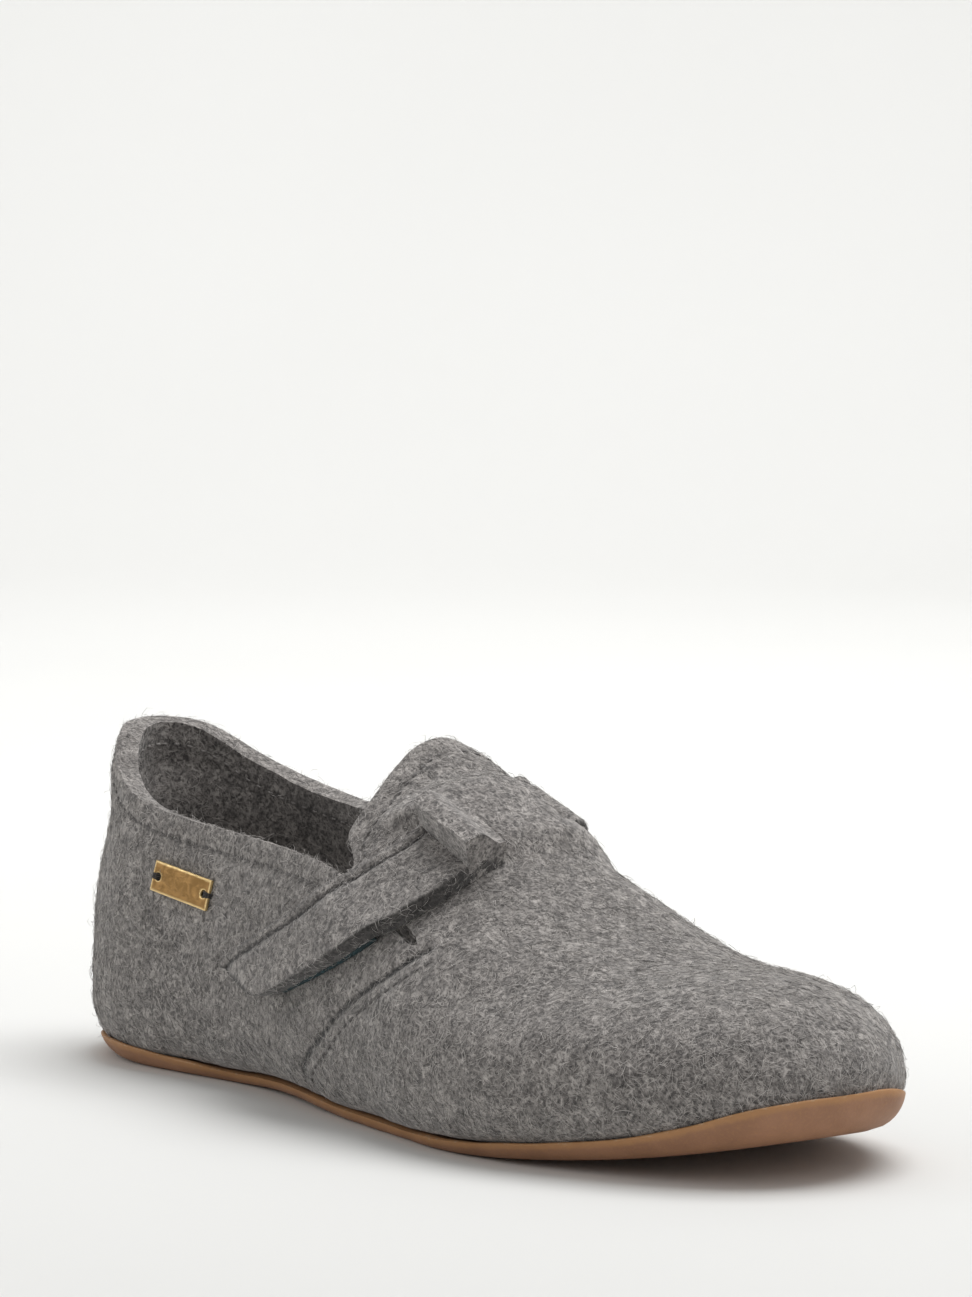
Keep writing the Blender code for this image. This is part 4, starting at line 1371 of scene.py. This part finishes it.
class SLIPPER_OT_strap(bpy.types.Operator):
    """Strap: felt band through the bridge, with its stitched edge"""
    bl_idname = "slipper.strap"
    bl_label = "Strap"

    def execute(self, context):
        start = -(BRIDGE_WIDTH / 2 + STRAP_SEWN_LENGTH) + GAP
        end = BRIDGE_WIDTH / 2 + STRAP_FREE_LENGTH - GAP
        alongs = np.concatenate([
            start + STRAP_CORNER * (1 - np.cos(np.linspace(0, math.pi / 2, 7)[:-1])),
            np.linspace(start + STRAP_CORNER, end - STRAP_CORNER, 150),
            end - STRAP_CORNER + STRAP_CORNER * np.sin(np.linspace(0, math.pi / 2, 9)[1:])])

        def shares_at(along):
            left = min(end + GAP - along, along - start + GAP, STRAP_CORNER)
            shorter = STRAP_CORNER - math.sqrt(max(STRAP_CORNER ** 2 - (STRAP_CORNER - left) ** 2, 0.0))
            upper, lower = strap_edges(along)
            trim = shorter / (upper - lower).length
            return trim, 1 - trim

        strap, sections = band_solid(
            "felt_strap", alongs, shares_at, strap_height, STRAP_THICKNESS, 24, grey_felt())
        mesh = strap.data
        places = vertex_places(mesh)
        normals = vertex_normals(mesh)
        top = sections[:, 3]
        row = distance_to(places, even_path(top, 0.0006))
        far = np.full(len(places), 1.0)
        for measure in ("seam", "seam_row", "collar_row", "tongue_row"):
            add_measure(mesh, measure, far)
        add_measure(mesh, "strap_row", row)
        # Painted shade: the strap's two side faces, its ends and the parts in the slits are darkened through
        # the cut measure.
        lanes = (sections.shape[1] - 12) // 2
        edges = np.concatenate([
            sections[:, lanes + 2:lanes + 4].reshape(-1, 3), sections[:, -4:-2].reshape(-1, 3),
            sections[0], sections[-1], slit_faces()])
        add_measure(mesh, "cut", distance_to(places, edges))
        rise = wobble(places, 0.012, 0.00010, 8) - 0.0006 * trough(row, 0.0010)
        set_places(mesh, places + normals * rise[:, None])
        mesh.set_sharp_from_angle(angle=math.radians(70))
        finish_piece(strap, "grey felt", "strap")
        return {"FINISHED"}


class SLIPPER_OT_tape(bpy.types.Operator):
    """Hook tape under the free end of the strap"""
    bl_idname = "slipper.tape"
    bl_label = "Hook tape"

    def execute(self, context):
        s = settings_now()
        end = BRIDGE_WIDTH / 2 + STRAP_FREE_LENGTH - STRAP_CORNER
        height = SOFT_GAP * 0.8 + TAPE_THICKNESS / 2
        tape, _ = band_solid(
            "hook_tape_cloth", np.linspace(end - TAPE_LENGTH, end, 40), lambda along: (1 - TAPE_SHARE, 0.98),
            lambda along: height, TAPE_THICKNESS, 14, tape_material(s))
        finish_piece(tape, "teal hook tape", "hook_tape")
        return {"FINISHED"}


def closed_loft(name, rings, material):
    """A closed body through rings of points around the shoe; the first and last rings close on a line."""
    loops = [np.concatenate([ring(-1), ring(1)[-2:0:-1]]) for ring in rings]
    size = len(loops[0])
    faces = []
    for low in range(0, size * (len(loops) - 1), size):
        high = low + size
        for k in range(size):
            after = (k + 1) % size
            faces.append((low + k, high + k, high + after, low + after))
    return object_from(name, np.concatenate(loops), faces, material)


class SLIPPER_OT_sole(bpy.types.Operator):
    """Sole: thin tan rubber, wrapped up around the edge"""
    bl_idname = "slipper.sole"
    bl_label = "Sole"

    def execute(self, context):
        s = settings_now()
        turn = np.linspace(0.0, 1.0, 181)
        station = (1 - np.cos(math.pi * turn)) / 2
        rings = []
        for k in range(7):
            rings.append(lambda side, f=1 - k / 6: under_points(side, turn, f, 0.0, 0.0))
        for share in (0.08, 0.18, 0.3, 0.42, 0.55, 0.68, 0.8, 0.9, 0.97):
            offset = SOLE_THICKNESS + (SOLE_LIP + GAP - SOLE_THICKNESS) * share
            rings.append(lambda side, o=offset, f=share: corner_points(
                side, turn, 0.0, o, sole_edge_height(station) * f))
        top = SOLE_LIP + GAP

        def rim(side):
            return corner_points(side, turn, 0.0, top * 0.85, sole_edge_height(station))

        rings.append(rim)
        rings.append(lambda side: corner_points(
            side, turn, 0.0, top * 0.55, sole_edge_height(station) + 0.0001))
        low = SOLE_THICKNESS - GAP
        floor = np.minimum(low, sole_edge_height(station))
        for share in (1.0, 0.75, 0.5, 0.25, 0.1):
            rings.append(lambda side, f=share: corner_points(
                side, turn, 0.0, GAP, floor + (sole_edge_height(station) - floor) * f))
        for k in range(4):
            rings.append(lambda side, f=k / 3: under_points(side, turn, f, 0.0, low))
        sole = closed_loft("rubber_sole", rings, rubber_material(s))
        mesh = sole.data
        places = vertex_places(mesh)
        normals = vertex_normals(mesh)
        edges = np.concatenate([even_path(rim(side), 0.001) for side in (-1, 1)])
        add_measure(mesh, "edge", distance_to(places, edges))
        outside = normals[:, 2] > -0.9
        set_places(mesh, places + normals * (wobble(places, 0.014, 0.00010, 21) * outside)[:, None])
        mesh.set_sharp_from_angle(angle=math.radians(75))
        finish_piece(sole, "tan sole rubber", "outsole")
        return {"FINISHED"}


class SLIPPER_OT_insole(bpy.types.Operator):
    """Insole: felt footbed"""
    bl_idname = "slipper.insole"
    bl_label = "Insole"

    def execute(self, context):
        s = settings_now()
        turn = np.linspace(0.0, 1.0, 141)
        low = SOLE_THICKNESS + GAP
        step = SOLE_THICKNESS + WALL + SOFT_GAP
        top = step + INSOLE_THICKNESS
        inner = TURNED_IN + 3 * SOFT_GAP
        inside = -(WALL + 3 * SOFT_GAP)
        rings = [
            lambda side: under_points(side, turn, 1.0, inner, low),
            lambda side: under_points(side, turn, 0.0, inner, low),
            lambda side: under_points(side, turn, 0.0, inner, step),
            lambda side: under_points(side, turn, 0.0, 0.0, step),
        ]
        for share in (0.3, 0.6, 0.9):
            rings.append(lambda side, h=step + (top - step) * share: corner_points(
                side, turn, 0.0, inside, np.full(len(turn), h)))
        rings.append(lambda side: under_points(side, turn, 0.0, 0.003, top))
        for k in range(1, 9):
            rings.append(lambda side, f=k / 8: under_points(side, turn, f, 0.003, top))
        # The insole is a darker copy of the felt, with dimmer light fibres: painted shade for the inside of
        # the slipper.
        material = felt_material(
            "insole felt painted shade", rgba(s.insole_shade_color), rgba(s.felt_light, 0.7), rgba(s.felt_dark))
        insole = closed_loft("felt_insole", rings, material)
        finish_piece(insole, "insole felt", "insole")
        return {"FINISHED"}


def plate_frame():
    place, normal = on_last(seen_from_side(-1, PLATE_STATION, PLATE_CENTRE_HEIGHT))
    along = Vector((0.0, -1.0, 0.0))
    along = (along - normal * along.dot(normal)).normalized()
    along = Matrix.Rotation(-PLATE_TILT, 3, normal) @ along
    if along.z > 0:
        along.z = -along.z
        along = (along - normal * along.dot(normal)).normalized()
    up = normal.cross(along).normalized()
    turn = Matrix((along, up, normal)).transposed().to_4x4()
    return Matrix.Translation(place + normal * (SOFT_GAP + PLATE_THICKNESS / 2)) @ turn


class SLIPPER_OT_plate(bpy.types.Operator):
    """Bare brass plate, sewn on through a hole near each end"""
    bl_idname = "slipper.plate"
    bl_label = "Brass plate"

    def execute(self, context):
        s = settings_now()
        frame_at = plate_frame()
        form = bmesh.new()
        bmesh.ops.create_cube(form, size=1.0)
        bmesh.ops.scale(form, vec=(PLATE_LENGTH, PLATE_HEIGHT, PLATE_THICKNESS), verts=form.verts)
        mesh = bpy.data.meshes.new("brass_label")
        form.to_mesh(mesh)
        form.free()
        plate = bpy.data.objects.new("brass_label", mesh)
        context.scene.collection.objects.link(plate)
        cutters = []
        for direction in (-1, 1):
            hole = bmesh.new()
            bmesh.ops.create_cone(hole, cap_ends=True, segments=40, radius1=PLATE_HOLE_RADIUS,
                                  radius2=PLATE_HOLE_RADIUS, depth=PLATE_THICKNESS * 4)
            bmesh.ops.translate(hole, verts=hole.verts, vec=(direction * PLATE_HOLE_PLACE, 0, 0))
            cutter_mesh = bpy.data.meshes.new("hole")
            hole.to_mesh(cutter_mesh)
            hole.free()
            cutter = bpy.data.objects.new("hole", cutter_mesh)
            context.scene.collection.objects.link(cutter)
            cut = plate.modifiers.new("hole", "BOOLEAN")
            cut.operation = "DIFFERENCE"
            cut.solver = "EXACT"
            cut.object = cutter
            cutters.append(cutter)
        soft = plate.modifiers.new("worn edges", "BEVEL")
        soft.width = 0.00018
        soft.segments = 3
        soft.limit_method = "ANGLE"
        soft.angle_limit = math.radians(40)
        apply_modifiers(plate)
        for cutter in cutters:
            bpy.data.objects.remove(cutter)
        form = bmesh.new()
        form.from_mesh(plate.data)
        bmesh.ops.triangulate(form, faces=form.faces)
        bmesh.ops.subdivide_edges(
            form, edges=[e for e in form.edges if e.calc_length() > 0.0012], cuts=3, use_grid_fill=True)
        form.to_mesh(plate.data)
        form.free()
        places = vertex_places(plate.data)
        side = np.minimum(PLATE_LENGTH / 2 - abs(places[:, 0]), PLATE_HEIGHT / 2 - abs(places[:, 1]))
        for direction in (-1, 1):
            centre = np.array([direction * PLATE_HOLE_PLACE, 0.0])
            away = abs(np.linalg.norm(places[:, :2] - centre, axis=1) - PLATE_HOLE_RADIUS)
            side = np.minimum(side, away * 1.6)
        add_measure(plate.data, "edge", side)
        plate.data.transform(frame_at)
        plate.data.materials.append(brass_material(s))
        plate.data.shade_smooth()
        plate.data.set_sharp_from_angle(angle=math.radians(50))
        finish_piece(plate, "antique brass", "brass_plate")
        thread = shared("plate thread", lambda: thread_material("plate thread", PLATE_THREAD_COLOR))
        finish_piece(plate_thread(frame_at, thread), "grey felt")
        return {"FINISHED"}


def plate_thread(frame_at, material):
    """The plate's thread: a few turns from each hole over the plate's end."""
    points = []
    faces = []
    sides = 6
    steps = 8
    outward = frame_at.to_3x3() @ Vector((0, 0, 1))
    for direction in (-1, 1):
        hole_x = direction * PLATE_HOLE_PLACE
        end_x = direction * (PLATE_LENGTH / 2 + 0.0003)
        for number in range(4):
            shift = (number - 1.5) * 2 * PLATE_THREAD_RADIUS
            path = []
            for k in range(steps + 1):
                share = k / steps
                x = hole_x + (end_x - hole_x) * share
                z = PLATE_THICKNESS / 2 + 0.0003 - 0.0016 * abs(share * 2 - 1) ** 4
                path.append(frame_at @ Vector((x, shift * (1.4 - 0.6 * share), z)))
            first = len(points)
            for k, spot in enumerate(path):
                ahead = (path[min(k + 1, steps)] - path[max(k - 1, 0)]).normalized()
                across = ahead.cross(outward).normalized()
                up = across.cross(ahead)
                for corner in range(sides):
                    a = 2 * math.pi * corner / sides
                    points.append(spot + (across * math.cos(a) + up * math.sin(a)) * PLATE_THREAD_RADIUS)
            faces += grid_faces(steps + 1, sides, first, closed=True)
            faces.append([first + corner for corner in range(sides)])
            faces.append([first + steps * sides + corner for corner in range(sides)])
    return object_from("plate_thread", points, faces, material, 60)


class SLIPPER_OT_stitches(bpy.types.Operator):
    """Rows of stitches: collar outside and inside, tongue, seams and strap"""
    bl_idname = "slipper.stitches"
    bl_label = "Stitches"

    def execute(self, context):
        s = settings_now()
        thread = shared("grey thread", lambda: thread_material("grey thread", s.thread_color))
        pale_color = [c * 2.2 for c in s.thread_color]
        pale = shared("pale thread", lambda: thread_material("pale thread", pale_color))
        upper = bpy.data.objects["felt_upper"]
        tree = tree_of(upper)
        find = normals_from(tree)

        def settle(path):
            return np.array([tree.find_nearest(Vector(p))[0] for p in path])

        for side, label in ((-1, "lateral"), (1, "medial")):
            for name, path, material, length, gap in (
                    ("collar_stitches_", collar_path(side, COLLAR_ROW_DOWN), thread, None, None),
                    ("collar_stitches_inside_", collar_path(side, COLLAR_ROW_DOWN, True), pale, 0.0020,
                     0.0014),
                    ("tongue_stitches_", tongue_path(side, TONGUE_ROW_IN), thread, None, None),
                    ("seam_stitches_", seam_path(side, SEAM_ROW_SHIFT, 0.97), thread, None, None)):
                row = stitch_row(name + label, settle(path), find, s, material, length, gap)
                finish_piece(row, "grey felt")
        strap = bpy.data.objects["felt_strap"]
        tree = tree_of(strap)
        find = normals_from(tree)
        start = BRIDGE_WIDTH / 2 + STRAP_ROW_ENDS
        end = BRIDGE_WIDTH / 2 + STRAP_FREE_LENGTH - STRAP_ROW_ENDS
        line = []
        for along in np.linspace(start, end, 90):
            height = strap_height(float(along)) + STRAP_THICKNESS / 2
            line.append(tree.find_nearest(strap_layer(float(along), STRAP_ROW_SHARE, height))[0])
        row = stitch_row("strap_stitches", np.array(line), find, s, thread, length=0.0022, gap=0.0010)
        finish_piece(row, "grey felt")
        return {"FINISHED"}


class SLIPPER_OT_fuzz(bpy.types.Operator):
    """Loose wool fibres over the felt"""
    bl_idname = "slipper.fuzz"
    bl_label = "Felt fuzz"

    def execute(self, context):
        s = settings_now()
        count = s.fibre_count // 1
        material = loose_fibres()
        outside = BVHTree.FromPolygons(*sheet_lists())
        upper = bpy.data.objects["felt_upper"]

        def outer(first, last):
            def weight(middles, _):
                share = np.ones(len(middles))
                for index, middle in enumerate(middles):
                    away = outside.find_nearest(Vector(middle))[3]
                    share[index] = 0.2 if away > 0.003 else 1.0
                station = station_of(middles[:, 1])
                share *= (station >= first) & (station < last) & (middles[:, 2] > 0.006)
                return share * np.where(middles[:, 0] > 0.015, 0.7, 1.0)
            return weight

        reaches = (("heel", -1.0, 0.36), ("waist", 0.36, 0.68), ("toe", 0.68, 2.0))
        for number, (label, first, last) in enumerate(reaches):
            rng = np.random.default_rng(SEED + number)
            places, normals = face_samples(upper.data, count, rng, outer(first, last))
            piece = fibre_mesh(
                "loose_fibres_" + label, places, normals, rng, s.fibre_length, s.fibre_radius, 0.00032,
                material)
            finish_piece(piece, "grey felt")
        rng = np.random.default_rng(SEED + 5)
        strap = bpy.data.objects["felt_strap"]
        places, normals = face_samples(strap.data, count // 3, rng, lambda middles, _: np.ones(len(middles)))
        piece = fibre_mesh(
            "loose_fibres_strap", places, normals, rng, s.fibre_length * 0.8, s.fibre_radius, 0.0003,
            material)
        finish_piece(piece, "grey felt")
        return {"FINISHED"}


def sheet_lists():
    points, faces = upper_sheet()
    return [Vector(p) for p in points], faces


class SLIPPER_OT_stage(bpy.types.Operator):
    """Plain pale floor and backdrop, soft lights and the camera"""
    bl_idname = "slipper.stage"
    bl_label = "Stage"

    def execute(self, context):
        s = settings_now()
        scene = context.scene
        made, n, shader, place = new_material("studio floor")
        shader.inputs["Roughness"].default_value = 0.9
        shader.inputs["Specular IOR Level"].default_value = 0.1
        n.link(n.mix(n.ramp(n.noise(place, 3.0, 1.0), 0.3, 0.7), rgba(s.floor_color),
                     rgba(s.floor_color, 0.985)), shader.inputs["Base Color"])
        sweep = []
        radius = 0.5
        back = 1.6
        for k in range(13):
            a = math.pi / 2 * k / 12
            sweep.append((back + radius * math.sin(a), radius * (1 - math.cos(a))))
        profile = [(-2.4, 0.0), (0.0, 0.0)] + sweep + [(back + radius, 3.0)]
        points = []
        ahead = Vector((math.sin(math.radians(38)), math.cos(math.radians(38)), 0.0))
        aside = Vector((ahead.y, -ahead.x, 0.0))
        for reach, height in profile:
            for width in (-3.0, -1.0, 1.0, 3.0):
                points.append(ahead * reach + aside * width + Vector((0, 0, height)))
        floor = object_from("studio_floor", points, grid_faces(len(profile), 4), made, 180)

        world = bpy.data.worlds.new("studio")
        scene.world = world
        world.use_nodes = True
        background = world.node_tree.nodes["Background"]
        background.inputs[0].default_value = (1.0, 0.995, 0.985, 1.0)
        background.inputs[1].default_value = 0.45
        wall = ahead * 1.0
        for name, spot, aim, size, power in (
                ("key", (0.38, -0.10, 1.20), (0.0, 0.0, 0.03), 1.1, s.key_power),
                ("side", (-0.80, 0.90, 0.45), (0.0, 0.0, 0.04), 0.7, s.key_power * 0.17),
                ("front", (-0.35, -1.35, 0.75), (0.0, -0.05, 0.03), 0.9, s.key_power * 0.02),
                ("backdrop", (wall.x, wall.y, 1.8), (wall.x * 2.4, wall.y * 2.4, 0.5), 1.4,
                 s.key_power * 1.95)):
            light = bpy.data.lights.new(name, "AREA")
            light.shape = "DISK"
            light.size = size
            light.energy = power
            lamp = bpy.data.objects.new(name, light)
            scene.collection.objects.link(lamp)
            lamp.location = spot
            lamp.rotation_euler = (Vector(aim) - Vector(spot)).to_track_quat("-Z", "Y").to_euler()

        camera = bpy.data.cameras.new("camera")
        camera.sensor_width = 36.0
        camera.lens = 154.3
        camera.clip_start = 0.05
        camera.clip_end = 20.0
        eye = bpy.data.objects.new("camera", camera)
        scene.collection.objects.link(eye)
        eye.location = (-0.7825, -1.0099, 0.2184)
        eye.rotation_euler = Vector((0.6133, 0.7850, -0.0872)).to_track_quat("-Z", "Y").to_euler()
        scene.camera = eye
        scene.view_settings.view_transform = "Standard"
        scene.view_settings.look = "None"
        scene.view_settings.exposure = 0.0
        return {"FINISHED"}


class SLIPPER_PT_panel(bpy.types.Panel):
    """Sizes, colours and the steps that make the slipper"""
    bl_idname = "SLIPPER_PT_panel"
    bl_label = "Felt slipper"
    bl_space_type = "VIEW_3D"
    bl_region_type = "UI"
    bl_category = "Slipper"

    def draw(self, context):
        layout = self.layout
        settings = context.scene.slipper
        for key in SlipperSettings.__annotations__:
            layout.prop(settings, key)
        for operator in OPERATORS:
            layout.operator(operator.bl_idname)


OPERATORS = (
    SLIPPER_OT_stage, SLIPPER_OT_upper, SLIPPER_OT_sole, SLIPPER_OT_insole, SLIPPER_OT_strap, SLIPPER_OT_tape,
    SLIPPER_OT_plate, SLIPPER_OT_stitches, SLIPPER_OT_fuzz,
)
CLASSES = (SlipperSettings, *OPERATORS, SLIPPER_PT_panel)


def register():
    for kind in CLASSES:
        bpy.utils.register_class(kind)
    bpy.types.Scene.slipper = bpy.props.PointerProperty(type=SlipperSettings)


def unregister():
    del bpy.types.Scene.slipper
    for kind in reversed(CLASSES):
        bpy.utils.unregister_class(kind)


def main():
    register()
    for operator in OPERATORS:
        group, name = operator.bl_idname.split(".")
        if getattr(getattr(bpy.ops, group), name)() != {"FINISHED"}:
            raise RuntimeError(operator.bl_label + " was not made")


if __name__ == "__main__":
    main()
